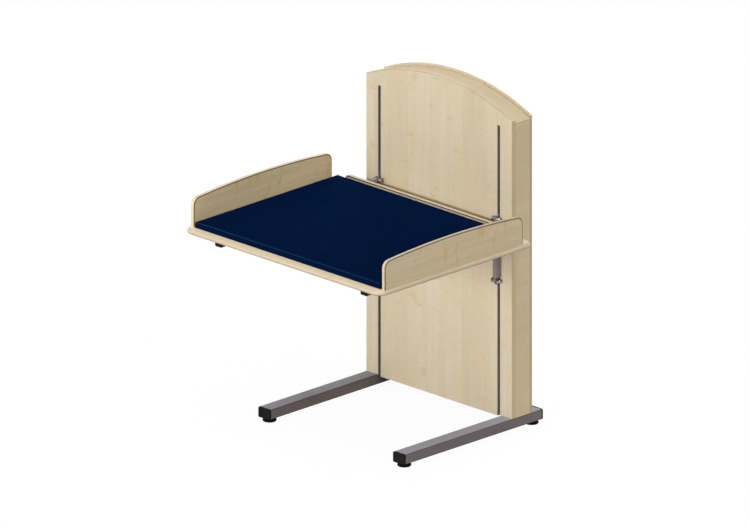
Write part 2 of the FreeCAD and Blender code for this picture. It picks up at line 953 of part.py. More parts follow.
def backPanel():
    body = newBody("back_panel", 0, coreBack)
    low = footTop - size.panel_lap
    inner = footX - size.foot_width / 2 - size.foot_play
    outline = [
        (-inner, low),
        (inner, low),
        (inner, footTop),
        (halfBox, footTop),
        (halfBox, size.corner_height),
        (-halfBox, size.corner_height, archRadius),
        (-halfBox, footTop),
        (-inner, footTop),
    ]
    wide = size.inlet_width / 2 + size.inlet_play
    tall = size.inlet_height / 2 + size.inlet_play
    middle = size.inlet_level
    opening = rectangle(-inletX - wide, middle - tall, -inletX + wide, middle + tall)
    hole = size.board_screw_diameter / 2 + size.screw_play
    holes = [(sign * panelScrewX, z, hole) for sign in sides.values() for z in panelScrewZs]
    sketch = newSketch(body, "XZ_Plane", [outline, opening, *holes])
    panel = pad(body, sketch, size.back_thickness, backwards=True)
    rear = amount(size.back_thickness) - touch
    reach = amount(halfBox) - touch

    def showing(edge):
        place = middleOf(edge)
        outer = abs(place.x) > reach or place.z > amount(size.corner_height)
        return outer and edge.BoundBox.YMin > rear

    chamfer(body, panel, size.back_bevel, showing)


def sidePanel(side):
    body = newBody(f"{side}_side_panel", 0, coreFront)
    outline = [
        (innerBox, footTop),
        (halfBox, footTop),
        (halfBox, archAt(underArch, halfBox)),
        (innerBox, archAt(underArch, innerBox), underArch),
    ]
    if side == "left":
        outline = mirrored(outline)
    pad(body, newSketch(body, "XZ_Plane", [outline]), size.box_core, backwards=True)
    hole = size.board_screw_diameter / 2 + size.screw_play
    holes = [(sides[side] * panelScrewX, z, hole) for z in panelScrewZs]
    rear = newSketch(body, "XZ_Plane", holes, -size.box_core)
    pocket(body, rear, size.board_screw_bite + size.screw_tip, backwards=True)
    hole = size.dowel_diameter / 2 + size.screw_play
    holes = [(sides[side] * panelScrewX, z, hole) for z in dowelZs]
    pocket(body, newSketch(body, "XZ_Plane", holes), size.dowel_side)


def panelDowels():
    master = newBody("panel_dowel", node=False)
    rod = newSketch(master, "XY_Plane", [(0, 0, size.dowel_diameter / 2)])
    pad(master, rod, size.dowel_front + size.dowel_side)
    start = coreFront - size.dowel_front
    places = [(sign * panelScrewX, start, z, alongBack) for sign in sides.values() for z in dowelZs]
    group("panel_dowels", master, places)


def topCover():
    body = newBody("top_cover", 0, coreFront)
    low = archAt(underArch, halfBox)
    high = archAt(coverArch, halfBox)
    outline = [
        (halfBox, high),
        (-halfBox, high, coverArch),
        (-halfBox, low),
        (halfBox, low, underArch, "inward"),
    ]
    pad(body, newSketch(body, "XZ_Plane", [outline]), size.box_core, backwards=True)


def slotLiner(side):
    body = newBody(f"{side}_slot_liner", sides[side] * slotX, face)
    outer = size.slot_width / 2 - size.liner_play
    inner = outer - size.liner_wall
    crown = size.slot_top - size.slot_width / 2
    outline = [
        (inner, footTop),
        (outer, footTop),
        (outer, crown),
        (0, crown + outer, outer),
        (-outer, crown, outer),
        (-outer, footTop),
        (-inner, footTop),
        (-inner, crown),
        (0, crown + inner, inner, "inward"),
        (inner, crown, inner, "inward"),
    ]
    pad(body, newSketch(body, "XZ_Plane", [outline]), size.panel_thickness, backwards=True)


def screw(name, diameter, head, headHeight, reach):
    # A screw along Z: the head ends at zero and the shank runs up
    body = newBody(name, node=False)
    shank = diameter / 2
    profile = [
        (0, -headHeight),
        (head / 2, -headHeight),
        (head / 2, 0),
        (shank, 0),
        (shank, reach),
        (0, reach),
    ]
    turn(body, newSketch(body, "XZ_Plane", [profile]))
    return body


def panelScrews():
    reach = size.back_thickness + size.board_screw_bite
    master = screw(
        "panel_screw", size.board_screw_diameter, size.board_screw_head, size.board_screw_head_height, reach
    )
    forward = rotation((1, 0, 0), 90)
    places = [(sign * panelScrewX, boxBack, z, forward) for sign in sides.values() for z in panelScrewZs]
    group("back_panel_screws", master, places)


# Carriage that runs in the rails and reaches out through the slots

def tongue(side):
    half = size.tongue_thickness / 2
    body = newBody(f"{side}_tongue", sides[side] * slotX - half)
    front = hangerFront + size.hanger_wall + size.tongue_play
    rear = railFront + size.tongue_seat
    low = lowBolt - size.bolt_end
    high = highBolt + size.bolt_end
    corner = size.tongue_corner
    outline = [
        (rear, low),
        (rear, high),
        (front + corner, high),
        (front, high - corner, corner),
        (front, low + corner),
        (front + corner, low, corner),
    ]
    hole = size.bolt_diameter / 2 + size.bolt_play
    holes = [(boltY, lowBolt, hole), (boltY, highBolt, hole)]
    pad(body, newSketch(body, "YZ_Plane", [outline, *holes]), size.tongue_thickness)


def glideBlocks():
    master = newBody("glide_block", node=False)
    half = size.guide_width / 2 - size.guide_wall - size.glide_play
    near = size.guide_wall + size.glide_play
    far = size.guide_depth - size.guide_wall - size.glide_play
    slit = size.tongue_thickness / 2 + size.glide_slot_play
    floor = size.tongue_seat + size.glide_slot_play
    outline = [
        (slit, near),
        (half, near),
        (half, far),
        (-half, far),
        (-half, near),
        (-slit, near),
        (-slit, floor),
        (slit, floor),
    ]
    pad(master, newSketch(master, "XY_Plane", [outline]), size.glide_height)
    low = lowBolt - size.bolt_end
    high = highBolt + size.bolt_end - size.glide_height
    places = [(sign * slotX, railFront, z, upright) for sign in sides.values() for z in (low, high)]
    group("glide_blocks", master, places)


def carriageBar():
    half = slotX - size.tongue_thickness / 2
    near = coreFront + size.bar_gap
    body = newBody("carriage_bar", 0, near)
    outline = rectangle(-half, carriageZ - size.bar_height / 2, half, carriageZ + size.bar_height / 2)
    pad(body, newSketch(body, "XZ_Plane", [outline]), size.bar_thickness, backwards=True)


def nutBracket():
    near = coreFront + size.bar_gap + size.bar_thickness
    half = size.bracket_width / 2
    body = newBody("nut_bracket", 0, 0, carriageZ)
    outline = rectangle(-half, near, half, spindleY + size.bracket_overhang)
    hole = (0, spindleY, size.nut_diameter / 2 + size.nut_seat_play)
    pad(body, newSketch(body, "XY_Plane", [outline, hole]), size.bracket_thickness)
    rib = [(near, -size.gusset_height), (spindleY, 0), (near, 0)]
    for offset in (-half, half - size.gusset_thickness):
        pad(body, newSketch(body, "YZ_Plane", [rib], offset), size.gusset_thickness)


def spindleNut():
    body = newBody("spindle_nut", 0, spindleY, carriageZ + size.bracket_thickness)
    bore = size.spindle_diameter / 2 + size.spindle_play
    low = -size.bracket_thickness - size.nut_reach
    profile = [
        (bore, low),
        (size.nut_diameter / 2, low),
        (size.nut_diameter / 2, 0),
        (size.nut_flange_diameter / 2, 0),
        (size.nut_flange_diameter / 2, size.nut_flange),
        (bore, size.nut_flange),
    ]
    turn(body, newSketch(body, "XZ_Plane", [profile]))


# Hangers in front of the slots

def hanger(side):
    half = size.hanger_width / 2
    wall = size.hanger_wall
    inner = half - wall
    low = lowBolt + size.hanger_bolt_gap
    high = highBolt - size.hanger_bolt_gap
    body = newBody(f"{side}_hanger", sides[side] * slotX)
    corner = size.hanger_corner
    channel = [
        (half - corner, hangerFront),
        (half, hangerFront + corner, corner),
        (half, hangerBack),
        (inner, hangerBack),
        (inner, hangerFront + wall),
        (-inner, hangerFront + wall),
        (-inner, hangerBack),
        (-half, hangerBack),
        (-half, hangerFront + corner),
        (-half + corner, hangerFront, corner),
    ]
    pad(body, newSketch(body, "XY_Plane", [channel], low), high - low)
    front = hangerFront + wall
    back = hangerBack - size.hanger_gap
    bottom = lowBolt - size.lug_end
    top = highBolt + size.lug_end
    corner = size.lug_corner
    plate = roundedRectangle(front, bottom, back, top, corner)
    hole = size.bolt_diameter / 2 + size.bolt_play
    holes = [(boltY, lowBolt, hole), (boltY, highBolt, hole)]
    thick = size.tongue_thickness
    start = thick / 2 if side == "left" else -lap
    pad(body, newSketch(body, "YZ_Plane", [plate, *holes], start), thick)


def hangerBoltPlaces(reach):
    # The bolts point outwards, so the nuts stand on the outer side of each slot
    for sign, way in ((-1, alongLeft), (1, alongRight)):
        for z in (lowBolt, highBolt):
            yield sign * (slotX + reach), boltY, z, way


def hangerFasteners():
    head = -lap - size.sleeve_length
    shank = size.sleeve_length + size.tongue_thickness * 2 + size.nut_thread_depth - size.screw_tip
    bolt = hexBolt("hanger_bolt", size.bolt_diameter, size.bolt_flats, size.bolt_head, shank)
    group("hanger_bolts", bolt, list(hangerBoltPlaces(head)))
    sleeve = newBody("hanger_sleeve", node=False)
    rings = [(0, 0, size.sleeve_diameter / 2), (0, 0, size.bolt_diameter / 2 + size.bolt_play)]
    pad(sleeve, newSketch(sleeve, "XY_Plane", rings), size.sleeve_length)
    group("hanger_sleeves", sleeve, list(hangerBoltPlaces(head)))
    nut = newBody("hanger_cap_nut", node=False)
    pad(nut, newSketch(nut, "XY_Plane", [hexagon(size.bolt_flats)]), size.nut_hex_height)
    dome = size.nut_dome_diameter / 2
    skirt = size.nut_height - size.nut_dome_arc
    profile = [
        (0, 0),
        (dome, 0),
        (dome, skirt),
        (0, size.nut_height, size.nut_dome_arc),
    ]
    turn(nut, newSketch(nut, "XZ_Plane", [profile]))
    bore = newSketch(nut, "XY_Plane", [(0, 0, size.bolt_diameter / 2 + size.bolt_play)])
    pocket(nut, bore, size.nut_thread_depth, backwards=True)
    group("hanger_cap_nuts", nut, list(hangerBoltPlaces(size.tongue_thickness / 2)))


# Table frame

def tableArm(side):
    half = size.arm_size / 2
    wall = size.arm_wall
    low = boardBottom - size.arm_size
    start = armFront + size.arm_cap_flange
    body = newBody(f"{side}_arm", sides[side] * armX, start)
    outer = roundedRectangle(-half, low, half, boardBottom, size.arm_corner)
    corner = size.arm_corner - wall
    inner = roundedRectangle(-half + wall, low + wall, half - wall, boardBottom - wall, corner)
    length = hangerFront - armFront - size.arm_cap_flange * 2
    pad(body, newSketch(body, "XZ_Plane", [outer, inner]), length, backwards=True)
    hole = size.table_screw_diameter / 2 + size.screw_play
    holes = newSketch(body, "XY_Plane", [(0, y - start, hole) for y in tableScrewYs])
    pocket(body, holes, boardBottom + wall, backwards=True)


def armCaps():
    low = boardBottom - size.arm_size
    master = tubeCap(
        "arm_cap", size.arm_size, low, boardBottom, size.arm_corner,
        size.arm_wall, size.arm_cap_flange, size.arm_cap_plug, size.arm_cap_wall
    )
    places = []
    for sign in sides.values():
        places.append((sign * armX, armFront + size.arm_cap_flange, 0, upright))
        places.append((sign * armX, hangerFront - size.arm_cap_flange, 0, halfTurn))
    group("arm_end_caps", master, places)


def frameCrossbeam():
    low = boardBottom - size.arm_size
    wall = size.arm_wall
    near = hangerFront - size.arm_size
    body = newBody("frame_crossbeam", -armInner)
    outer = roundedRectangle(near, low, hangerFront, boardBottom, size.arm_corner)
    corner = size.arm_corner - wall
    inner = roundedRectangle(near + wall, low + wall, hangerFront - wall, boardBottom - wall, corner)
    pad(body, newSketch(body, "YZ_Plane", [outer, inner]), armInner * 2)


# Table board and what stands on it

def tableBoard():
    body = newBody("table_board", 0, 0, boardBottom)
    outline = roundedRectangle(-tableSide, tableFront, tableSide, tableBack, size.table_corner)
    board = pad(body, newSketch(body, "XY_Plane", [outline]), size.table_thickness)
    edge = (size.table_thickness - size.table_edge_flat) / 2
    fillet(body, board, edge, lambda item: item.BoundBox.ZLength < touch)
    wide = size.hanger_width / 2 + size.notch_play
    near = hangerFront - size.notch_play
    notches = [rectangle(sign * slotX - wide, near, sign * slotX + wide, face) for sign in sides.values()]
    pocket(body, newSketch(body, "XY_Plane", notches), size.table_thickness, backwards=True)
    hole = size.table_screw_diameter / 2 + size.screw_play
    holes = [(sign * armX, y, hole) for sign in sides.values() for y in tableScrewYs]
    pocket(body, newSketch(body, "XY_Plane", holes), size.table_screw_bite + size.screw_tip, backwards=True)
    hole = size.board_screw_diameter / 2 + size.screw_play
    sink = size.board_screw_head / 2 + size.board_screw_sink
    places = list(boardScrewPlaces())
    bores = newSketch(body, "XY_Plane", [(x, y, hole) for x, y in places])
    pocket(body, bores, size.table_thickness, backwards=True)
    sinks = newSketch(body, "XY_Plane", [(x, y, sink) for x, y in places])
    pocket(body, sinks, screwSeat, backwards=True)


def boardScrewPlaces():
    for sign in sides.values():
        for y in boardScrewYs:
            yield sign * sideBoardX, y
    for x in railScrewXs:
        yield x, backRailFront + size.back_rail_thickness / 2


def tableScrews():
    reach = size.arm_size + size.table_screw_bite
    master = screw(
        "table_screw", size.table_screw_diameter, size.table_screw_head, size.table_screw_head_height, reach
    )
    low = boardBottom - size.arm_size
    places = [(sign * armX, y, low, upright) for sign in sides.values() for y in tableScrewYs]
    group("table_screws", master, places)


def boardScrews():
    reach = size.table_thickness - screwSeat + boardBite
    master = screw(
        "board_screw", size.board_screw_diameter, size.board_screw_head, size.board_screw_head_height, reach
    )
    seat = boardBottom + screwSeat
    group("board_screws", master, [(x, y, seat, upright) for x, y in boardScrewPlaces()])


def sideBoard(side):
    thick = size.side_board_thickness
    start = sides[side] * sideBoardX - thick / 2
    body = newBody(f"{side}_side_board", start, sideBoardMiddle, size.table_height)
    half = sideBoardHalf
    corner = size.side_board_corner
    crown = size.side_board_crown
    middle = size.side_board_height - crown
    inward = half - corner
    level = middle + root((crown - corner) * (crown - corner) - inward * inward)
    share = crown / (crown - corner)
    meetY = inward * share
    meetZ = middle + (level - middle) * share
    outline = [
        (half, 0),
        (half, level),
        (meetY, meetZ, corner),
        (-meetY, meetZ, crown),
        (-half, level, corner),
        (-half, 0),
    ]
    board = pad(body, newSketch(body, "YZ_Plane", [outline]), thick)
    fillet(body, board, size.board_rounding, lambda edge: edge.BoundBox.XLength < touch < middleOf(edge).z)
    hole = size.board_screw_diameter / 2 + size.screw_play
    holes = newSketch(body, "XY_Plane", [(thick / 2, y - sideBoardMiddle, hole) for y in boardScrewYs])
    pocket(body, holes, boardBite + size.screw_tip, backwards=True)


def backRail():
    half = backRailHalf
    corner = size.back_rail_corner
    body = newBody("back_rail", 0, backRailFront, size.table_height)
    outline = [
        (half, 0),
        (half, size.back_rail_rise - corner),
        (half - corner, size.back_rail_rise, corner),
        (-half + corner, size.back_rail_rise),
        (-half, size.back_rail_rise - corner, corner),
        (-half, 0),
    ]
    rail = pad(body, newSketch(body, "XZ_Plane", [outline]), size.back_rail_thickness, backwards=True)
    fillet(body, rail, size.board_rounding, lambda edge: edge.BoundBox.YLength < touch < middleOf(edge).z)
    hole = size.board_screw_diameter / 2 + size.screw_play
    holes = newSketch(body, "XY_Plane", [(x, size.back_rail_thickness / 2, hole) for x in railScrewXs])
    pocket(body, holes, boardBite + size.screw_tip, backwards=True)


def padOutline(height, inward):
    # A round-cornered outline whose sides are drawn in between the corners
    half = amount(padHalf) - inward
    deep = amount(padBack - padFront) / 2 - inward
    corner = amount(size.pad_corner)
    draw = amount(size.pad_draw)
    diagonal = corner * (1 - math.sqrt(0.5))
    edges = []
    for quarter in range(4):
        long, wide = (half, deep) if quarter % 2 == 0 else (deep, half)
        turned = FreeCAD.Rotation(FreeCAD.Vector(0, 0, 1), 90 * quarter)
        side = [(long, -wide + corner), (long - draw, 0), (long, wide - corner)]
        bend = [(long, wide - corner), (long - diagonal, wide - diagonal), (long - corner, wide)]
        for arc in (side, bend):
            points = [turned.multVec(FreeCAD.Vector(x, y, height)) for x, y in arc]
            edges.append(Part.Arc(*points).toShape())
    return Part.Wire(edges)


def changingPad():
    # The cushion: drawn-in sides, rolled edges and a low crown
    thick = amount(size.pad_thickness)
    edge = amount(size.pad_edge)
    crown = amount(size.pad_crown)
    slope = edge * (1 - math.sqrt(0.5))
    wires = [
        padOutline(0, edge),
        padOutline(slope, slope),
        padOutline(edge, 0),
        padOutline(thick - crown - edge, 0),
        padOutline(thick - crown - slope, slope),
        padOutline(thick - crown, edge),
        padOutline(thick, amount(size.pad_crown_reach)),
    ]
    cushion = doc.addObject("Part::Feature", "changing_pad")
    cushion.Label = "changing_pad"
    cushion.Shape = Part.makeLoft(wires, True, True)
    settle(cushion, 0, (padFront + padBack) / 2, size.table_height)
    subparts.append(cushion)


# Switch under the front edge

def switchPlaces():
    x = size.switch_left + size.switch_width / 2
    z = boardBottom - size.switch_height / 2
    return {"up": (x - size.button_spacing / 2, z), "down": (x + size.button_spacing / 2, z)}


def switchHousing():
    wall = size.switch_wall
    body = newBody("switch_housing", 0, switchFront)
    left = size.switch_left
    low = boardBottom - size.switch_height
    right = left + size.switch_width
    corner = size.switch_corner
    outline = [
        (right, low + corner, corner),
        (right, boardBottom),
        (left, boardBottom),
        (left, low + corner),
        (left + corner, low, corner),
        (right - corner, low),
    ]
    pad(body, newSketch(body, "XZ_Plane", [outline]), size.switch_depth, backwards=True)
    cavity = rectangle(left + wall, wall, right - wall, size.switch_depth - wall)
    pocket(body, newSketch(body, "XY_Plane", [cavity], boardBottom), size.switch_height - wall)
    wide = size.button_width / 2 + size.button_play
    tall = size.button_height / 2 + size.button_play
    mouths = []
    for x, z in switchPlaces().values():
        mouths.append(roundedRectangle(x - wide, z - tall, x + wide, z + tall, size.button_corner))
    pocket(body, newSketch(body, "XZ_Plane", mouths), wall * 2)


def switchButtons():
    wide = size.button_width / 2
    tall = size.button_height / 2
    lip = size.button_lip
    proud = size.button_proud
    inside = size.switch_wall + size.button_play
    for name, (x, z) in switchPlaces().items():
        body = newBody(f"{name}_button", x, switchFront + inside, z)
        cap = roundedRectangle(-wide, -tall, wide, tall, size.button_corner)
        key = pad(body, newSketch(body, "XZ_Plane", [cap]), inside + proud)
        front = amount(inside + proud)
        chamfer(body, key, size.button_bevel, lambda edge: edge.BoundBox.YMax < touch - front)
        collar = roundedRectangle(-wide - lip, -tall - lip, wide + lip, tall + lip, size.button_corner)
        pad(body, newSketch(body, "XZ_Plane", [collar]), size.button_lip_thickness, backwards=True)
        stem = newSketch(body, "XZ_Plane", [(0, 0, size.button_stem / 2)], -size.button_lip_thickness)
        pad(body, stem, size.button_stem, backwards=True)


def buildAll():
    for side in sides:
        footTube(side)
    footCaps()
    levellerInserts()
    levellers()
    baseCrossbeam()
    for side in sides:
        guideRail(side)
    topTie()
    spindleBearing()
    liftSpindle()
    gearboxHousing()
    driveMotor()
    controlBox()
    mainsInlet()
    inletPins()
    frameBolts()
    frontPanel()
    backPanel()
    for side in sides:
        sidePanel(side)
        slotLiner(side)
    topCover()
    panelDowels()
    panelScrews()
    for side in sides:
        tongue(side)
        hanger(side)
    glideBlocks()
    carriageBar()
    nutBracket()
    spindleNut()
    hangerFasteners()
    for side in sides:
        tableArm(side)
        sideBoard(side)
    armCaps()
    frameCrossbeam()
    tableBoard()
    tableScrews()
    boardScrews()
    backRail()
    changingPad()
    switchHousing()
    switchButtons()


def checkAll():
    doc.recompute()
    for item in doc.Objects:
        if "Invalid" in item.State or "Error" in item.State:
            raise RuntimeError(f"{item.Label} failed: {item.State}")
    for item in subparts:
        if item.Shape.isNull() or not item.Shape.isValid() or item.Shape.Volume <= 0:
            raise RuntimeError(f"{item.Label} has no sound solid")


def writeAll():
    os.makedirs("parts", exist_ok=True)
    for item in subparts:
        item.Shape.exportStep(f"parts/{item.Label}.step")
        print(item.Label, len(item.Shape.Solids), round(item.Shape.Volume))


buildAll()
checkAll()
writeAll()
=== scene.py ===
import bmesh
import bpy
import math
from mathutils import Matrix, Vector


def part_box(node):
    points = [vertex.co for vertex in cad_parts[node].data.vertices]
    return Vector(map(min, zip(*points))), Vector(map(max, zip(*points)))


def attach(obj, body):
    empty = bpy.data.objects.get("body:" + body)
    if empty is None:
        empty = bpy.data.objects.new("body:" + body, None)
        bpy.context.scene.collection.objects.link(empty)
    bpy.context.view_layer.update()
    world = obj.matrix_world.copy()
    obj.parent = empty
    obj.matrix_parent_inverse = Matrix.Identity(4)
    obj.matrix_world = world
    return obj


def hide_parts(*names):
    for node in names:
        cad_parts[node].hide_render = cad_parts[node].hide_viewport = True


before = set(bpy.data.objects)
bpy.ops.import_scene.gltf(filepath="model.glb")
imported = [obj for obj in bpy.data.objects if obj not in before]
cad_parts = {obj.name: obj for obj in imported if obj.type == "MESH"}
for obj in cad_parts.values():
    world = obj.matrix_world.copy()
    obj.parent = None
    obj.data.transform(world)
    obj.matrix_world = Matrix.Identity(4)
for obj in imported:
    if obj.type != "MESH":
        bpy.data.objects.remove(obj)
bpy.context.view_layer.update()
print("frame loaded,", len(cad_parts), "pieces")


class Wire:
    # an output socket that can be used in sums
    def __init__(self, finish, socket):
        self.finish = finish
        self.socket = socket

    def sum(self, operation, first, second=0.0):
        return self.finish.node("ShaderNodeMath", {"operation": operation}, {0: first, 1: second})

    def __add__(self, other):
        return self.sum("ADD", self, other)

    def __sub__(self, other):
        return self.sum("SUBTRACT", self, other)

    def __rsub__(self, other):
        return self.sum("SUBTRACT", other, self)

    def __mul__(self, other):
        return self.sum("MULTIPLY", self, other)

    def __truediv__(self, other):
        return self.sum("DIVIDE", self, other)

    def __pow__(self, other):
        return self.sum("POWER", self, other)

    def __abs__(self):
        return self.sum("ABSOLUTE", self)

    def most(self, other):
        return self.sum("MAXIMUM", self, other)

    def least(self, other):
        return self.sum("MINIMUM", self, other)

    def between(self, low, high):
        # 0 below low, 1 above high, smooth in the middle
        settings = {"interpolation_type": "SMOOTHSTEP"}
        return self.finish.node("ShaderNodeMapRange", settings, {"Value": self, "From Min": low, "From Max": high})


class Finish:
    # a node tree with one method for any node
    def __init__(self, tree):
        self.tree = tree

    def node(self, kind, settings=None, inputs=None, output=0):
        made = self.tree.nodes.new(kind)
        for name, value in (settings or {}).items():
            setattr(made, name, value)
        for name, value in (inputs or {}).items():
            self.feed(made.inputs[name], value)
        return Wire(self, made.outputs[output])

    def feed(self, socket, value):
        if isinstance(value, Wire):
            self.tree.links.new(value.socket, socket)
        else:
            socket.default_value = value

    def place(self, scale, offset=(0, 0, 0), turn=(0, 0, 0)):
        # object coordinates, stretched by one number or one for each axis, moved and turned
        coordinates = self.node("ShaderNodeTexCoord", output="Object")
        stretch = scale if isinstance(scale, tuple) else (scale, scale, scale)
        inputs = {"Vector": coordinates, "Scale": stretch, "Location": offset, "Rotation": turn}
        return self.node("ShaderNodeMapping", None, inputs)

    def noise(self, scale, detail=2.0, rough=0.5, distortion=0.0, offset=(0, 0, 0), turn=(0, 0, 0)):
        inputs = {
            "Vector": self.place(scale, offset, turn),
            "Scale": 1.0,
            "Detail": detail,
            "Roughness": rough,
            "Distortion": distortion,
        }
        return self.node("ShaderNodeTexNoise", {"noise_dimensions": "3D"}, inputs)

    def cells(self, scale):
        inputs = {"Vector": self.place(scale), "Scale": 1.0}
        return self.node("ShaderNodeTexVoronoi", {"feature": "F1"}, inputs, "Distance")

    def axis(self, letter):
        coordinates = self.node("ShaderNodeTexCoord", output="Object")
        return self.node("ShaderNodeSeparateXYZ", None, {0: coordinates}, letter)

    def facing(self, letter):
        # how far the surface points along an axis
        normal = self.node("ShaderNodeNewGeometry", output="Normal")
        return self.node("ShaderNodeSeparateXYZ", None, {0: normal}, letter)

    def mix(self, share, first, second, blend="MIX"):
        settings = {"data_type": "RGBA", "blend_type": blend}
        inputs = {0: share, 6: colour(first), 7: colour(second)}
        return self.node("ShaderNodeMix", settings, inputs, 2)

    def bump(self, height, depth, distance):
        inputs = {"Height": height, "Strength": depth, "Distance": distance}
        return self.node("ShaderNodeBump", None, inputs)


def colour(value):
    return (*value, 1.0) if isinstance(value, tuple) and len(value) == 3 else value


class Coat(Finish):
    # a material with its main shader
    def __init__(self, name, **constants):
        self.material = bpy.data.materials.new(name)
        self.material.use_nodes = True
        super().__init__(self.material.node_tree)
        self.shader = self.tree.nodes["Principled BSDF"]
        for socket, value in constants.items():
            self.give(socket.replace("_", " "), value)

    def give(self, socket, value):
        self.feed(self.shader.inputs[socket], colour(value))

    def surface(self, grain, rough, relief, height=None):
        # rough is the least roughness and its spread, relief the strength and the height of the bumps
        least, spread = rough
        self.give("Roughness", grain * spread + least)
        self.give("Normal", self.bump(grain if height is None else height, *relief))


# Maple laminate: streaks along the grain, strips of slightly different tone, curly figure and flame flecks
maple = {
    "pale": (0.700, 0.592, 0.432),
    "deep": (0.540, 0.434, 0.282),
    "warm": (0.632, 0.503, 0.318),
    "fleck": (0.598, 0.436, 0.243),
    "amber": (0.564, 0.405, 0.205),
    "brown": (0.400, 0.270, 0.130),
    "paintedTopLight": (0.920, 0.760, 0.520),
    "line": (0.330, 0.235, 0.118),
    "jointAndShade": (0.022, 0.019, 0.010),
    "fine": 0.55,
    "streak": 0.66,
    "broad": 0.60,
    "strips": 0.28,
    "stripWidth": 0.150,
    "curl": 0.70,
    "curlLean": {"X": (0, 0, 0.35), "Y": (0.35, 0, 0), "Z": (0, 0.45, 0)},
    "patchRange": (0.44, 0.62),
    "warmShare": 0.75,
    "warmRange": (0.42, 0.68),
    "fleckShare": 0.90,
    "fleckRange": (0.58, 0.76),
    "fleckStreak": (0.2, 1.2),
    "ior": 1.46,
    "lacquer": 0.10,
    "lacquerRough": 0.3,
    "rough": (0.40, 0.14),
    "relief": (0.10, 0.0004),
    "streakRelief": 0.6,
}

# Figures in the wood: how fine each is across the grain and along it, and the shape of its noise
figures = {
    "fine": ((480, 26), {"detail": 3.0, "rough": 0.6}),
    "streak": ((70, 2.6), {"detail": 5.0, "rough": 0.70, "distortion": 0.6}),
    "broad": ((26, 1.5), {"detail": 4.0, "rough": 0.55, "distortion": 0.5}),
    "patch": ((6, 6), {"detail": 1.0}),
    "warmth": ((13, 4), {"detail": 3.0, "rough": 0.55, "distortion": 0.4}),
    "fleck": ((15, 24), {"detail": 2.0, "distortion": 0.4}),
    "curl": ((14, 150), {"detail": 1.0}),
}


def stretched(grain, across, along):
    return tuple(along if letter == grain else across for letter in "XYZ")


def mapleWood(coat, grain, stripAxis, offset, curly, lively):
    def figure(name, **more):
        spacing, shape = figures[name]
        return coat.noise(stretched(grain, *spacing), offset=offset, **shape, **more)

    fine = figure("fine")
    streak = figure("streak")
    broad = figure("broad")
    patch = figure("patch").between(*maple["patchRange"])
    warmth = figure("warmth").between(*maple["warmRange"])
    fleck = figure("fleck").between(*maple["fleckRange"])
    curl = figure("curl", turn=maple["curlLean"][grain])
    position = coat.axis(stripAxis) / maple["stripWidth"] + offset[0]
    strip = coat.node("ShaderNodeTexVoronoi", {"voronoi_dimensions": "1D"}, {"W": position, "Scale": 1.0}, "Color")
    stripTone = coat.node("ShaderNodeSeparateColor", None, {0: strip}, 0)
    shares = (
        (fine, maple["fine"]),
        (streak, maple["streak"] * lively),
        (broad, maple["broad"]),
        (stripTone, maple["strips"]),
    )
    tone = (curl - 0.5) * patch * (maple["curl"] * curly) + 0.5
    for part, share in shares:
        tone = tone + (part - 0.5) * share  # every figure swings round a half
    wood = coat.mix(tone, maple["deep"], maple["pale"])
    wood = coat.mix(warmth * maple["warmShare"], wood, maple["warm"])
    least, rise = maple["fleckStreak"]
    fleckShare = maple["fleckShare"] * (1 + lively) / 2
    wood = coat.mix(fleck * (streak * rise + least) * fleckShare, wood, maple["fleck"])
    coat.give("Coat Weight", broad * maple["lacquer"])
    coat.surface(fine, maple["rough"], maple["relief"], fine + streak * maple["streakRelief"])
    return wood


def mapleFinish(name, grain, stripAxis, offset, tint, marks, curly=1.0, lively=1.0):
    # marks are pairs of a mask and the tone it brings
    coat = Coat(name, IOR=maple["ior"], Coat_Roughness=maple["lacquerRough"])
    wood = coat.mix(1.0, mapleWood(coat, grain, stripAxis, offset, curly, lively), tint, "MULTIPLY")
    for mask, tone in marks:
        wood = coat.mix(mask(coat), wood, maple[tone])
    coat.give("Base Color", wood)
    return coat.material


# Joints, bands and rims of the boards, and the painted light and shade on them: where they show, how strongly, and
# how far a face has to turn for them
edging = {
    "rounded": (0.05, 0.60),
    "turn": (0.15, 0.45),
    "lineFade": (0.6, 1.2),
    "railJoint": (0.8084, 0.8094),
    "tableJoint": 0.28,
    "tableJointStart": (0.004, 0.012),
    "tableJointEnd": (0.05, 0.10),
    "tableRim": (0.7652, 0.7722),
    "tableShade": 0.78,
    "tablePaintedLight": 0.8,
    "tablePaintedLightTurn": (0.93, 0.99),
    "tableFront": 0.5,
    "tableFrontTurn": (0.3, 0.9),
    "band": 0.7,
    "bandTurn": (0.5, 0.8),
    "rim": 0.6,
    "flank": {"place": 0.4222, "half": 0.0014, "share": 0.5},
    "arch": {"place": 1.2006, "half": 0.0016, "share": 0.7},
}
boardOutline = {
    "middle": -0.097,
    "half": 0.359,
    "corner": 0.029,
    "crown": 3.700,
    "centre": -2.790,
    "joint": 0.0047,
    "line": 0.0005,
    "share": 0.8,
}


def turned(coat, letter, limits):
    # 1 where the surface faces along an axis, either way
    return abs(coat.facing(letter)).between(*limits)


def rounding(coat, letter):
    # 1 half way round an edge between a face along this axis and its neighbour
    facing = abs(coat.facing(letter))
    return (facing * facing * (1 - facing * facing) * 4).between(*edging["rounded"])


def seam(coat, letter, line):
    # a thin line across an axis
    distance = abs(coat.axis(letter) - line["place"]) / line["half"]
    return (1 - distance.between(*edging["lineFade"])) * line["share"]


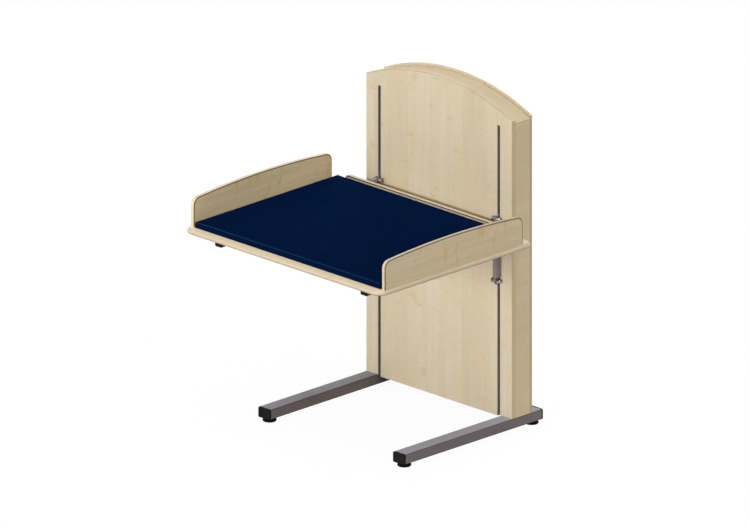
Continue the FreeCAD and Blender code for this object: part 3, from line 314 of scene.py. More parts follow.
def boardJoint(coat):
    # the dark joint of the edging follows the side board's outline
    corner = boardOutline["corner"]
    side = coat.axis("Y") - boardOutline["middle"]
    rise = coat.axis("Z") - boardOutline["centre"]
    beyondEnd = abs(side) - (boardOutline["half"] - corner)
    beyondCrown = (side * side + rise * rise) ** 0.5 - (boardOutline["crown"] - corner)
    outside = (beyondEnd.most(0.0) ** 2 + beyondCrown.most(0.0) ** 2) ** 0.5
    depth = outside + beyondEnd.most(beyondCrown).least(0.0) - corner + boardOutline["joint"]
    edge = depth.between(-boardOutline["line"], boardOutline["line"])
    return edge * turned(coat, "X", edging["turn"]) * boardOutline["share"]


def railJoint(coat):
    return coat.axis("Z").between(*edging["railJoint"]) * turned(coat, "Y", edging["turn"])


def tableLine(coat):
    # the edging's joint on top, and painted shade darkening its lower rim
    slant = 1 - abs(coat.facing("Z"))
    joint = slant.between(*edging["tableJointStart"]) * (1 - slant.between(*edging["tableJointEnd"]))
    shade = 1 - coat.axis("Z").between(*edging["tableRim"])
    return joint * edging["tableJoint"] + shade * edging["tableShade"]


def tablePaintedLight(coat):
    # painted light: the upward faces of the board are painted paler than the edging, standing in for light the
    # pad's shade takes from the open top
    return coat.facing("Z").between(*edging["tablePaintedLightTurn"]) * edging["tablePaintedLight"]


# painted shade: the faces turned to the front and back are painted darker, damping the light that falls on them
def tableFront(coat):
    return turned(coat, "Y", edging["tableFrontTurn"]) * edging["tableFront"]


def uprightBand(coat):
    # the banding on the upright edges of a panel
    return turned(coat, "X", edging["bandTurn"]) * edging["band"]


# painted shade: a dark line half way round the rounded edges
def paintedRimShade(coat):
    return rounding(coat, "Y") * edging["rim"]


def flankJoint(coat):
    return seam(coat, "Y", edging["flank"])


def archJoint(coat):
    return seam(coat, "Z", edging["arch"])


# One finish per board: direction of the grain, axis of the strips, offset, tint and marks
panelTint = (0.993, 1.022, 1.054)
plainTint = (1, 1, 1)
tableMarks = [(tablePaintedLight, "paintedTopLight"), (tableFront, "deep"), (tableLine, "jointAndShade")]
boardMarks = [(boardJoint, "jointAndShade")]
boardFigure = {"curly": 0.2, "lively": 2.7}
mapleFront = mapleFinish(
    "mapleFront", "Z", "X", (3.1, 0.4, 1.7), panelTint, [(uprightBand, "amber"), (paintedRimShade, "line")],
)
mapleBack = mapleFinish(
    "mapleBack", "Z", "X", (6.4, 0.9, 2.8), panelTint, [(uprightBand, "brown"), (paintedRimShade, "line")],
)
mapleFlank = mapleFinish("mapleFlank", "Y", "Z", (7.3, 2.2, 4.9), (0.99, 0.975, 0.895), [(flankJoint, "line")])
# painted light: the top cover's tint is paler, standing in for light its recess between the panels takes away
mapleArch = mapleFinish("mapleArch", "X", "Y", (1.9, 6.1, 0.3), (1.08, 1.07, 1.05), [(archJoint, "line")])
mapleTable = mapleFinish("mapleTable", "X", "Y", (5.7, 8.4, 2.6), (0.94, 0.94, 0.94), tableMarks, curly=0.3)
# the two side boards are lit and shaded copies of one maple: the far board's tint is painted paler, standing in
# for light its inner face lacks
mapleNear = mapleFinish("mapleNear", "Y", "Z", (9.2, 1.3, 6.8), (0.975, 0.95, 0.86), boardMarks, **boardFigure)
mapleFar = mapleFinish("mapleFar", "Y", "Z", (4.6, 3.7, 6.1), (1.16, 1.14, 1.03), boardMarks, **boardFigure)
mapleRail = mapleFinish("mapleRail", "X", "Z", (2.4, 5.5, 3.3), plainTint, [(railJoint, "jointAndShade")], curly=0.2)

# Grey powder coat: a fine orange peel and a faint speckle, painted light making the upward faces paler,
# painted shade darkening a line half way round the edges
greyCoat = {
    "base": (0.205, 0.176, 0.176),
    "dark": (0.172, 0.146, 0.146),
    "paintedUpwardLight": (0.437, 0.419, 0.469),
    "paintedUpwardTurn": (0.35, 0.95),
    "paintedUpwardCloud": (0.8, 0.3),
    "speckle": (0.29, 0.27, 0.29),
    "speckleRange": (0.62, 0.75),
    "speckleShare": 0.25,
    "paintedEdgeShade": (0.050, 0.044, 0.045),
    "paintedEdgeShadeShare": 0.65,
    "hangerPaintedLight": 1.3,
    "peelGrain": 900,
    "cloudGrain": 14,
    "speckleGrain": 2600,
    "ior": 1.45,
    "shine": 0.06,
    "rough": (0.54, 0.16),
    "relief": (0.12, 0.0003),
}


def greyFinish(name, lift=1.0):
    coat = Coat(name, IOR=greyCoat["ior"], Specular_IOR_Level=greyCoat["shine"])
    cloud = coat.noise(greyCoat["cloudGrain"], detail=3.0)
    speckle = coat.noise(greyCoat["speckleGrain"], detail=1.0).between(*greyCoat["speckleRange"])
    dark, base = (tuple(value * lift for value in greyCoat[tone]) for tone in ("dark", "base"))
    paint = coat.mix(cloud, dark, base)
    paint = coat.mix(speckle * greyCoat["speckleShare"], paint, greyCoat["speckle"])
    # painted light: faces turned upward are painted paler, mottled by the cloud
    least, spread = greyCoat["paintedUpwardCloud"]
    upward = coat.facing("Z").between(*greyCoat["paintedUpwardTurn"])
    paint = coat.mix(upward * (cloud * spread + least), paint, greyCoat["paintedUpwardLight"])
    # painted shade: a dark line half way round the edges
    paint = coat.mix(rounding(coat, "Z") * greyCoat["paintedEdgeShadeShare"], paint, greyCoat["paintedEdgeShade"])
    coat.give("Base Color", paint)
    coat.surface(coat.noise(greyCoat["peelGrain"]), greyCoat["rough"], greyCoat["relief"])
    return coat.material


greyPaint = greyFinish("greyPaint")
# painted light: the hangers take a paler copy of the grey paint, standing in for light the table's shade takes
# from them
hangerPaintLit = greyFinish("hangerPaintLit", greyCoat["hangerPaintedLight"])

# Moulded plastics: spark-eroded grain
plastic = {
    "ior": 1.48,
    "sparkGrain": 1500,
    "cloudGrain": 30,
    "wornShare": 0.7,
    "spread": 0.2,
    "relief": (0.18, 0.0003),
}


def plasticFinish(name, base, worn, rough, shine=0.5):
    coat = Coat(name, IOR=plastic["ior"], Specular_IOR_Level=shine)
    cloud = coat.noise(plastic["cloudGrain"], detail=3.0)
    coat.give("Base Color", coat.mix(cloud * plastic["wornShare"], base, worn))
    coat.surface(coat.noise(plastic["sparkGrain"]), (rough, plastic["spread"]), plastic["relief"])
    return coat.material


blackPlastic = plasticFinish("blackPlastic", (0.008, 0.0075, 0.0075), (0.014, 0.013, 0.013), 0.42, shine=0.05)
buttonPlastic = plasticFinish("buttonPlastic", (0.15, 0.15, 0.16), (0.20, 0.20, 0.21), 0.36)
arrowPlastic = plasticFinish("arrowPlastic", (0.62, 0.62, 0.63), (0.70, 0.70, 0.71), 0.40)
glidePlastic = plasticFinish("glidePlastic", (0.74, 0.73, 0.68), (0.80, 0.79, 0.75), 0.34)

# Slot trim: a dark rim on the faces turned to the front, the walls inside painted paler, painted light standing in
# for light the slot's recess lacks
trim = {
    "rim": (0.105, 0.092, 0.091),
    "rimTurn": (0.4, 0.8),
    "paintedLightInside": ((0.34, 0.305, 0.305), (0.46, 0.415, 0.415)),
    "paintedLightGrain": (700, 700, 9),
    "shine": 0.2,
    "rough": (0.42, 0.2),
    "relief": (0.15, 0.0003),
}


def trimFinish(name):
    coat = Coat(name, IOR=plastic["ior"], Specular_IOR_Level=trim["shine"])
    # painted light: the faces not turned to the front take the paler tone
    paintedLightInside = coat.mix(coat.noise(trim["paintedLightGrain"]), *trim["paintedLightInside"])
    coat.give("Base Color", coat.mix(turned(coat, "Y", trim["rimTurn"]), paintedLightInside, trim["rim"]))
    coat.surface(coat.noise(plastic["sparkGrain"]), trim["rough"], trim["relief"])
    return coat.material


slotTrim = trimFinish("slotTrim")

# Welded vinyl: pebbled grain on a soft sheen; the welt's paler tone is a painted highlight along the pad's front
# top edge
vinyl = {
    "ior": 1.48,
    "shine": 0.0018,
    "pebbleGrain": 520,
    "pebbleShare": 0.3,
    "foldGrain": 24,
    "foldShare": 0.7,
    "fineGrain": 1400,
    "fineRelief": 0.3,
    "rough": (0.56, 0.14),
    "relief": (0.25, 0.0004),
}


def vinylFinish(name, base, worn):
    coat = Coat(name, IOR=vinyl["ior"], Specular_IOR_Level=vinyl["shine"])
    pebble = coat.cells(vinyl["pebbleGrain"])
    fold = coat.noise(vinyl["foldGrain"], detail=3.0)
    fine = coat.noise(vinyl["fineGrain"])
    wear = fold * vinyl["foldShare"] + pebble * vinyl["pebbleShare"]
    coat.give("Base Color", coat.mix(wear, base, worn))
    coat.surface(fine, vinyl["rough"], vinyl["relief"], pebble + fine * vinyl["fineRelief"])
    return coat.material


navyVinyl = vinylFinish("navyVinyl", (0.0002, 0.0058, 0.0290), (0.0004, 0.0088, 0.0425))
# painted highlight: the welt is a paler navy than the pad
weltHighlightVinyl = vinylFinish("weltHighlightVinyl", (0.0140, 0.0330, 0.0980), (0.0180, 0.0400, 0.1150))

# Metals: brushed zinc, bright nickel, bronze and blasted aluminium
metal = {"cloudGrain": 40, "spread": 0.18, "height": 0.0002}


def metalFinish(name, base, tarnish, rough, brush, depth):
    coat = Coat(name, Metallic=1.0)
    cloud = coat.noise(metal["cloudGrain"], detail=4.0)
    coat.give("Base Color", coat.mix(cloud, base, tarnish))
    coat.surface(coat.noise(brush, detail=3.0), (rough, metal["spread"]), (depth, metal["height"]))
    return coat.material


zincSteel = metalFinish("zincSteel", (0.62, 0.63, 0.65), (0.50, 0.52, 0.55), 0.28, (300, 300, 30), 0.10)
brightSteel = metalFinish("brightSteel", (0.42, 0.41, 0.43), (0.32, 0.31, 0.33), 0.20, (500, 80, 500), 0.06)
bronze = metalFinish("bronze", (0.62, 0.44, 0.20), (0.48, 0.31, 0.13), 0.30, (600, 600, 200), 0.12)
castAluminium = metalFinish("castAluminium", (0.60, 0.61, 0.62), (0.50, 0.51, 0.52), 0.42, 1300, 0.30)

# Screw thread as turned rings along the stem
thread = {"cloudGrain": 60, "crest": (0.0, 0.7), "rough": (0.24, 0.2), "depth": 0.9, "height": 0.35}


def threadFinish(name, pitch, base, tarnish):
    coat = Coat(name, Metallic=1.0)
    turns = coat.axis("Z") / pitch
    ridge = coat.node("ShaderNodeMath", {"operation": "PINGPONG"}, {0: turns, 1: 0.5}) * 2
    # the thread's roots are darker than its crests
    coat.give("Base Color", coat.mix(ridge.between(*thread["crest"]), tarnish, base))
    cloud = coat.noise(thread["cloudGrain"], detail=3.0)
    coat.surface(cloud, thread["rough"], (thread["depth"], pitch * thread["height"]), ridge)
    return coat.material


studThread = threadFinish("studThread", 0.0015, (0.62, 0.63, 0.65), (0.30, 0.31, 0.33))
spindleThread = threadFinish("spindleThread", 0.005, (0.55, 0.56, 0.58), (0.22, 0.21, 0.20))

# Satin black paint of the motor and plain beech dowels: one grain gives the tone, the gloss and the relief
plainLooks = {
    "motorPaint": {
        "ior": 1.45,
        "grain": {"scale": 700},
        "tones": ((0.040, 0.040, 0.044), (0.058, 0.058, 0.062)),
        "rough": (0.35, 0.15),
        "relief": (0.15, 0.0003),
    },
    "dowelBeech": {
        "ior": 1.46,
        "grain": {"scale": (900, 30, 900), "detail": 3.0, "rough": 0.6},
        "tones": ((0.52, 0.34, 0.19), (0.68, 0.50, 0.32)),
        "rough": (0.5, 0.2),
        "relief": (0.3, 0.0004),
    },
}


def plainFinish(name):
    look = plainLooks[name]
    coat = Coat(name, IOR=look["ior"])
    grain = coat.noise(**look["grain"])
    coat.give("Base Color", coat.mix(grain, *look["tones"]))
    coat.surface(grain, look["rough"], look["relief"])
    return coat.material


motorPaint = plainFinish("motorPaint")
dowelBeech = plainFinish("dowelBeech")

finishes = {
    mapleFront: ["front_panel"],
    mapleBack: ["back_panel"],
    mapleFlank: ["left_side_panel", "right_side_panel"],
    mapleArch: ["top_cover"],
    mapleTable: ["table_board"],
    mapleNear: ["right_side_board"],
    mapleFar: ["left_side_board"],
    mapleRail: ["back_rail"],
    greyPaint: [
        "left_foot_tube", "right_foot_tube", "left_arm", "right_arm", "frame_crossbeam",
        "left_tongue", "right_tongue", "base_crossbeam",
    ],
    hangerPaintLit: ["left_hanger", "right_hanger"],
    blackPlastic: ["foot_end_caps", "arm_end_caps", "switch_housing", "control_box", "mains_inlet"],
    buttonPlastic: ["up_button", "down_button"],
    slotTrim: ["left_slot_liner", "right_slot_liner"],
    glidePlastic: ["glide_blocks"],
    zincSteel: [
        "left_guide_rail", "right_guide_rail", "top_tie", "carriage_bar", "nut_bracket", "frame_bolts",
        "leveller_inserts", "table_screws", "board_screws", "back_panel_screws",
    ],
    brightSteel: ["hanger_bolts", "hanger_sleeves", "hanger_cap_nuts"],
    bronze: ["spindle_nut", "inlet_pins"],
    castAluminium: ["gearbox_housing", "spindle_top_bearing"],
    spindleThread: ["lift_spindle"],
    motorPaint: ["drive_motor"],
    dowelBeech: ["panel_dowels"],
}
for corner in ("front_left", "front_right", "rear_left", "rear_right"):
    finishes[blackPlastic].append(f"{corner}_leveller_sole")
    finishes.setdefault(studThread, []).append(f"{corner}_leveller_stud")
for material, names in finishes.items():
    for name in names:
        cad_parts[name].material_slots[0].material = material
print("finishes given to", sum(len(names) for names in finishes.values()), "pieces")


# Modelling helpers: every operator works on one fresh selection
tiny = 0.0001  # tolerance when edges and faces are picked by their place
mostly = 0.9  # least cosine of an edge or a face that counts as lying along an axis


def fresh(name, adder, **settings):
    bpy.ops.object.select_all(action="DESELECT")
    adder(**settings)
    piece = bpy.context.object
    piece.name = name
    return piece


def pick(piece):
    bpy.ops.object.select_all(action="DESELECT")
    piece.select_set(True)
    bpy.context.view_layer.objects.active = piece


def choose(piece, kind, test):
    # selects the vertices, edges or faces whose middle passes the test
    modes = {"verts": "VERT", "edges": "EDGE", "faces": "FACE"}
    bpy.ops.mesh.select_mode(type=modes[kind])
    bpy.ops.mesh.select_all(action="DESELECT")
    mesh = bmesh.from_edit_mesh(piece.data)
    for element in getattr(mesh, kind):
        if kind == "verts":
            middle = element.co
        elif kind == "edges":
            middle = (element.verts[0].co + element.verts[1].co) / 2
        else:
            middle = element.calc_center_median()
        if test(middle, element):
            element.select_set(True)
    mesh.select_flush_mode()
    bmesh.update_edit_mesh(piece.data)


def runsAlong(edge, axis):
    return abs((edge.verts[1].co - edge.verts[0].co).normalized()[axis]) > mostly


def placed(piece):
    # puts the place, turn and size into the mesh
    pick(piece)
    bpy.ops.object.transform_apply(location=True, rotation=True, scale=True)


def copied(piece, name, move=(0, 0, 0), turn=None):
    twin = piece.copy()
    twin.data = piece.data.copy()
    twin.name = name
    bpy.context.collection.objects.link(twin)
    twin.location = move
    if turn:
        twin.rotation_euler = turn
    placed(twin)
    return twin


def joined(pieces, name):
    bpy.ops.object.select_all(action="DESELECT")
    for piece in pieces:
        piece.select_set(True)
    bpy.context.view_layer.objects.active = pieces[0]
    bpy.ops.object.join()
    whole = bpy.context.object
    whole.name = name
    return whole


def modified(piece, kind, **settings):
    pick(piece)
    modifier = piece.modifiers.new(kind.lower(), kind)
    for name, value in settings.items():
        setattr(modifier, name, value)
    bpy.ops.object.modifier_apply(modifier=modifier.name)


def delivered(piece, material, body, stands=(), angle=35):
    # finish, shading, body and slot of a piece that is done
    pick(piece)
    bpy.ops.object.shade_smooth_by_angle(angle=math.radians(angle))
    piece.data.materials.clear()
    piece.data.materials.append(material)
    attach(piece, body)
    if stands:
        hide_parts(*stands)


# Changing pad: thin foam in welded vinyl, filled out by a cloth simulation
padShape = {
    "low": (-0.4815, -0.4585, 0.7834),
    "high": (0.4815, 0.2838, 0.8064),
    "cells": (100, 76, 3),
    "rim": 0.0030,
    "pressure": 4.0,
    "frames": 20,
    "quality": 4,
    "resting": 0.001,
    "swell": 0.0024,
    "room": ((-0.4835, -0.4602, 0.7832), (0.4835, 0.2855, 0.8088)),
}


def makePad():
    low = Vector(padShape["low"])
    high = Vector(padShape["high"])
    piece = fresh("changingPad", bpy.ops.mesh.primitive_cube_add, size=1, location=(low + high) / 2)
    piece.scale = high - low
    placed(piece)
    bpy.ops.object.mode_set(mode="EDIT")
    for axis, cells in enumerate(padShape["cells"]):
        choose(piece, "edges", lambda middle, edge: runsAlong(edge, axis))
        bpy.ops.mesh.subdivide(number_cuts=cells - 1)
    for axis, cells in enumerate(padShape["cells"]):
        step = (high[axis] - low[axis]) / cells
        for border, way in ((low[axis], 1), (high[axis], -1)):
            row = border + way * step
            choose(piece, "verts", lambda middle, vertex: abs(middle[axis] - row) < tiny)
            shift = Vector((0, 0, 0))
            shift[axis] = way * (padShape["rim"] - step)
            bpy.ops.transform.translate(value=shift)  # keeps the rims crisp
    bpy.ops.object.mode_set(mode="OBJECT")
    fillOut(piece, low.z)
    modified(piece, "SUBSURF", levels=1, render_levels=1)
    print("pad has", len(piece.data.polygons), "faces")
    return piece


def fillOut(piece, bottom):
    # the lower skin rests on the board, the rest swells softly
    start = [vertex.co.copy() for vertex in piece.data.vertices]
    resting = piece.vertex_groups.new(name="resting")
    level = bottom + padShape["resting"]
    resting.add([index for index, place in enumerate(start) if place.z < level], 1.0, "REPLACE")
    pick(piece)
    cloth = piece.modifiers.new("vinyl", "CLOTH")
    cloth.settings.use_pressure = True
    cloth.settings.uniform_pressure_force = padShape["pressure"]
    cloth.settings.effector_weights.gravity = 0
    cloth.settings.vertex_group_mass = "resting"
    cloth.settings.quality = padShape["quality"]
    cloth.point_cache.frame_start = 1
    cloth.point_cache.frame_end = padShape["frames"]
    for number in range(1, padShape["frames"] + 1):
        bpy.context.scene.frame_set(number)
    bpy.ops.object.modifier_apply(modifier=cloth.name)
    bpy.context.scene.frame_set(1)
    least, most = padShape["room"]
    for vertex, place in zip(piece.data.vertices, start):
        move = vertex.co - place
        if move.length > 0:
            move *= padShape["swell"] * (1 - math.exp(-move.length / padShape["swell"])) / move.length
        vertex.co = [min(max(value, small), large) for value, small, large in zip(place + move, least, most)]


# Welt: a slim bead along the pad's upper front edge
welt = {
    "inset": 0.0012,
    "height": 0.8070,
    "thickness": 0.0012,
    "corner": 0.006,
    "reach": 0.05,
    "longEdge": 0.1,
    "cuts": 60,
    "stand": 0.3,
}


def makeWelt(pad):
    low, high = (Vector(corner) for corner in padShape["room"])
    piece = fresh("padWelt", bpy.ops.mesh.primitive_plane_add, size=1)
    piece.scale = (high.x - low.x - welt["inset"] * 2, high.y - low.y - welt["inset"] * 2, 1)
    piece.location = ((low.x + high.x) / 2, (low.y + high.y) / 2, welt["height"])
    placed(piece)
    bpy.ops.object.mode_set(mode="EDIT")
    bpy.ops.mesh.select_all(action="SELECT")
    bpy.ops.mesh.delete(type="ONLY_FACE")
    bpy.ops.mesh.select_all(action="SELECT")
    bpy.ops.mesh.bevel(offset=welt["corner"], segments=4, affect="VERTICES")
    choose(piece, "verts", lambda middle, vertex: middle.y > low.y + welt["reach"])
    bpy.ops.mesh.delete(type="VERT")
    choose(piece, "edges", lambda middle, edge: edge.calc_length() > welt["longEdge"])
    bpy.ops.mesh.subdivide(number_cuts=welt["cuts"])
    bpy.ops.object.mode_set(mode="OBJECT")
    modified(piece, "SHRINKWRAP", target=pad, offset=welt["thickness"] * welt["stand"])
    pick(piece)
    bpy.ops.object.convert(target="CURVE")
    piece = bpy.context.object
    piece.data.bevel_depth = welt["thickness"]
    piece.data.bevel_resolution = 2
    bpy.ops.object.convert(target="MESH")
    return bpy.context.object


# Foot end caps: a dished flange, a lip that laps the tube and a plug inside it
footCap = {
    "inset": 0.030,
    "flange": 0.0040,
    "lip": 0.0004,
    "lap": 0.0025,
    "corner": 0.0050,
    "edge": 0.0009,
    "border": 0.0028,
    "dish": 0.0004,
    "wall": 0.0026,
    "plug": 0.0140,
}


def makeFootCap(width, height):
    front = -footCap["flange"]
    lip = footCap["lip"]
    piece = fresh("footCap", bpy.ops.mesh.primitive_cube_add, size=1)
    piece.scale = (width + lip * 2, footCap["flange"] + footCap["lap"], height + lip * 2)
    piece.location = (0, (front + footCap["lap"]) / 2, 0)
    placed(piece)
    bpy.ops.object.mode_set(mode="EDIT")
    choose(piece, "edges", lambda middle, edge: runsAlong(edge, 1))
    bpy.ops.mesh.bevel(offset=footCap["corner"] + lip, segments=6)
    choose(piece, "edges", lambda middle, edge: middle.y < front + tiny)
    bpy.ops.mesh.bevel(offset=footCap["edge"], segments=2)
    choose(piece, "faces", lambda middle, face: face.normal.y < -mostly and middle.y < front + tiny)
    bpy.ops.mesh.inset(thickness=footCap["border"])
    bpy.ops.mesh.inset(thickness=footCap["dish"] * 2, depth=-footCap["dish"])
    choose(piece, "faces", lambda middle, face: face.normal.y > mostly)
    bpy.ops.mesh.inset(thickness=lip)
    bpy.ops.mesh.extrude_region_move(TRANSFORM_OT_translate={"value": (0, -footCap["lap"], 0)})
    bpy.ops.mesh.inset(thickness=footCap["wall"])
    bpy.ops.mesh.extrude_region_move(TRANSFORM_OT_translate={"value": (0, footCap["plug"], 0)})
    bpy.ops.object.mode_set(mode="OBJECT")
    return piece


def footCapCopies():
    low, high = (Vector(corner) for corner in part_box("foot_end_caps"))
    master = makeFootCap(footCap["inset"] * 2, high.z - low.z)
    ends = ((low.y + footCap["flange"], 0), (high.y - footCap["flange"], math.pi))
    copies = []
    for side in (-1, 1):
        for place, turn in ends:
            move = (side * (high.x - footCap["inset"]), place, (low.z + high.z) / 2)
            copies.append(copied(master, "footCapCopy", move, (0, 0, turn)))
    bpy.data.objects.remove(master)
    return joined(copies, "footEndCaps")


# Hanger bolts and cap nuts: chamfered hexagons, the nuts with a polished dome
boltShape = {
    "flats": 0.017,
    "head": 0.0064,
    "chamfer": 0.0010,
    "border": 0.0016,
    "slope": 0.0005,
    "dish": 0.0003,
    "shank": 0.0295,
    "radius": 0.005,
    "sides": 20,
    "tip": 0.0008,
}
nutShape = {
    "hex": 0.009,
    "chamfer": 0.0009,
    "dome": 0.008,
    "rise": 0.009,
    "sink": 0.0002,
    "segments": 28,
    "rings": 16,
}
hangerPlaces = {"x": 0.310, "headFrom": 0.0224, "nutFrom": 0.002, "y": 0.319, "heights": (0.580, 0.820)}


def hexPrism(name, height, chamfer, rims):
    radius = boltShape["flats"] / math.sqrt(3)
    piece = fresh(name, bpy.ops.mesh.primitive_cylinder_add, vertices=6, radius=radius, depth=height)
    piece.location = (0, 0, height / 2)
    placed(piece)
    bpy.ops.object.mode_set(mode="EDIT")
    choose(piece, "edges", lambda middle, edge: any(abs(middle.z - rim) < tiny for rim in rims))
    bpy.ops.mesh.bevel(offset=chamfer, segments=2)
    bpy.ops.object.mode_set(mode="OBJECT")
    return piece


def makeBolt():
    head = hexPrism("boltHead", boltShape["head"], boltShape["chamfer"], (0.0,))
    bpy.ops.object.mode_set(mode="EDIT")
    choose(head, "faces", lambda middle, face: face.normal.z < -mostly and middle.z < tiny)
    bpy.ops.mesh.inset(thickness=boltShape["border"])
    bpy.ops.mesh.inset(thickness=boltShape["slope"], depth=-boltShape["dish"])
    bpy.ops.object.mode_set(mode="OBJECT")
    shank = fresh(
        "boltShank", bpy.ops.mesh.primitive_cylinder_add, vertices=boltShape["sides"],
        radius=boltShape["radius"], depth=boltShape["shank"],
    )
    shank.location = (0, 0, boltShape["head"] + boltShape["shank"] / 2)
    placed(shank)
    bpy.ops.object.mode_set(mode="EDIT")
    end = boltShape["head"] + boltShape["shank"]
    choose(shank, "edges", lambda middle, edge: middle.z > end - tiny)
    bpy.ops.mesh.bevel(offset=boltShape["tip"], segments=1)
    bpy.ops.object.mode_set(mode="OBJECT")
    return joined([head, shank], "hangerBolt")


def makeCapNut():
    base = hexPrism("nutHex", nutShape["hex"], nutShape["chamfer"], (0.0, nutShape["hex"]))
    dome = fresh(
        "nutDome", bpy.ops.mesh.primitive_uv_sphere_add, segments=nutShape["segments"],
        ring_count=nutShape["rings"], radius=nutShape["dome"],
    )
    dome.scale = (1, 1, nutShape["rise"] / nutShape["dome"])
    seat = (0, 0, nutShape["hex"] - nutShape["sink"])
    dome.location = seat
    placed(dome)
    bpy.ops.object.mode_set(mode="EDIT")
    bpy.ops.mesh.select_all(action="SELECT")
    bpy.ops.mesh.bisect(plane_co=seat, plane_no=(0, 0, 1), clear_inner=True, use_fill=True)
    bpy.ops.object.mode_set(mode="OBJECT")
    return joined([base, dome], "hangerCapNut")


def hangerCopies(master, start, name):
    copies = []
    for side in (-1, 1):
        turn = (0, side * math.pi / 2, 0)
        for height in hangerPlaces["heights"]:
            move = (side * start, hangerPlaces["y"], height)
            copies.append(copied(master, f"{name}Copy", move, turn))
    bpy.data.objects.remove(master)
    return joined(copies, name)


# Screws: a pan head with a cross recess, and its shank
screwHead = {
    "sides": 20,
    "round": 0.55,
    "recessLength": 1.15,
    "recessWidth": 0.26,
    "recessDepth": 1.1,
    "stemSides": 14,
    "taper": 0.8,
}
boardScrewHeight = 0.7643
screwShapes = {
    "backPanelScrews": {
        "radius": 0.0045,
        "head": 0.0025,
        "shank": 0.042,
        "stem": 0.002,
        "turn": (math.pi / 2, 0, 0),
        "places": [(x, 0.4375, z) for x in (-0.3705, 0.3705) for z in (0.115, 0.375, 0.635, 0.895, 1.155)],
    },
    "tableScrews": {
        "radius": 0.0060,
        "head": 0.0035,
        "shank": 0.048,
        "stem": 0.003,
        "turn": None,
        "places": [(x, y, 0.7255) for x in (-0.378, 0.378) for y in (-0.369, -0.0655, 0.238)],
    },
    "boardScrews": {
        "radius": 0.0045,
        "head": 0.0025,
        "shank": 0.0372,
        "stem": 0.002,
        "turn": None,
        "places": [(x, y, boardScrewHeight) for x in (-0.496, 0.496) for y in (-0.366, -0.097, 0.172)]
        + [(x, 0.295, boardScrewHeight) for x in (-0.355, -0.11833, 0.11833, 0.355)],
    },
}


def makeScrew(name):
    shape = screwShapes[name]
    radius = shape["radius"]
    height = shape["head"]
    head = fresh(
        f"{name}Head", bpy.ops.mesh.primitive_cylinder_add, vertices=screwHead["sides"],
        radius=radius, depth=height,
    )
    head.location = (0, 0, height / 2)
    placed(head)
    bpy.ops.object.mode_set(mode="EDIT")
    choose(head, "edges", lambda middle, edge: middle.z < tiny)
    bpy.ops.mesh.bevel(offset=height * screwHead["round"], segments=3)
    bpy.ops.object.mode_set(mode="OBJECT")
    for turn in (0, math.pi / 2):
        cutter = fresh(f"{name}Cutter", bpy.ops.mesh.primitive_cube_add, size=1)
        cutter.scale = (
            radius * screwHead["recessLength"],
            radius * screwHead["recessWidth"],
            height * screwHead["recessDepth"],
        )
        cutter.rotation_euler = (0, 0, turn)
        placed(cutter)
        modified(head, "BOOLEAN", operation="DIFFERENCE", object=cutter, solver="EXACT")
        bpy.data.objects.remove(cutter)
    stem = fresh(
        f"{name}Stem", bpy.ops.mesh.primitive_cone_add, vertices=screwHead["stemSides"],
        radius1=shape["stem"], radius2=shape["stem"] * screwHead["taper"], depth=shape["shank"],
    )
    stem.location = (0, 0, height + shape["shank"] / 2)
    placed(stem)
    return joined([head, stem], name)


def screwCopies(name):
    shape = screwShapes[name]
    master = makeScrew(name)
    copies = [copied(master, f"{name}Copy", place, shape["turn"]) for place in shape["places"]]
    bpy.data.objects.remove(master)
    return joined(copies, name)


# Arrows on the two buttons: plain raised triangles
arrow = {
    "size": 0.0052,
    "rise": 0.0008,
    "bevel": 0.0003,
    "face": -0.4320,
    "height": 0.7525,
    "shift": 0.2,
    "places": (("up_button", 0.194, 1), ("down_button", 0.230, -1)),
}


def makeArrow(name, x, tip):
    piece = fresh(name, bpy.ops.mesh.primitive_cylinder_add, vertices=3, radius=arrow["size"], depth=arrow["rise"])
    piece.rotation_euler = (tip * math.pi / 2, 0, 0)
    piece.location = (x, arrow["face"], arrow["height"] - tip * arrow["size"] * arrow["shift"])
    placed(piece)
    bpy.ops.object.mode_set(mode="EDIT")
    choose(piece, "edges", lambda middle, edge: middle.y < arrow["face"])
    bpy.ops.mesh.bevel(offset=arrow["bevel"], segments=2)
    bpy.ops.object.mode_set(mode="OBJECT")
    return piece


# Weld beads where the crossbeam meets the arms and the hangers
bead = {
    "radius": 0.0022,
    "sides": 10,
    "ripples": 26,
    "swing": 0.0006,
    "armX": 0.3605,
    "armSpan": (0.275, 0.306),
    "armHeights": (0.7300, 0.7630),
    "hangerEdges": (0.3005, 0.3195),
    "hangerY": 0.308,
    "hangerSpan": (0.732, 0.761),
}


def makeBead(name, start, end):
    start = Vector(start)
    end = Vector(end)
    length = (end - start).length
    piece = fresh(
        name, bpy.ops.mesh.primitive_cylinder_add, vertices=bead["sides"], radius=bead["radius"], depth=length,
    )
    bpy.ops.object.mode_set(mode="EDIT")
    choose(piece, "edges", lambda middle, edge: runsAlong(edge, 2))
    bpy.ops.mesh.subdivide(number_cuts=bead["ripples"] * 2 - 1)
    bpy.ops.object.mode_set(mode="OBJECT")
    for vertex in piece.data.vertices:
        turn = (vertex.co.z / length + 0.5) * bead["ripples"] * math.tau
        swell = 1 + math.cos(turn) * bead["swing"] / bead["radius"]
        vertex.co = (vertex.co.x * swell, vertex.co.y * swell, vertex.co.z)
    piece.rotation_mode = "QUATERNION"
    piece.rotation_quaternion = (end - start).to_track_quat("Z", "Y")
    piece.location = (start + end) / 2
    placed(piece)
    return piece


def makeWelds():
    near, far = bead["armSpan"]
    low, high = bead["hangerSpan"]
    beads = []
    for side in (-1, 1):
        x = side * bead["armX"]
        for height in bead["armHeights"]:
            beads.append(makeBead("weldBead", (x, near, height), (x, far, height)))
        for edge in bead["hangerEdges"]:
            x = side * edge
            beads.append(makeBead("weldBead", (x, bead["hangerY"], low), (x, bead["hangerY"], high)))
    return joined(beads, "frameWelds")


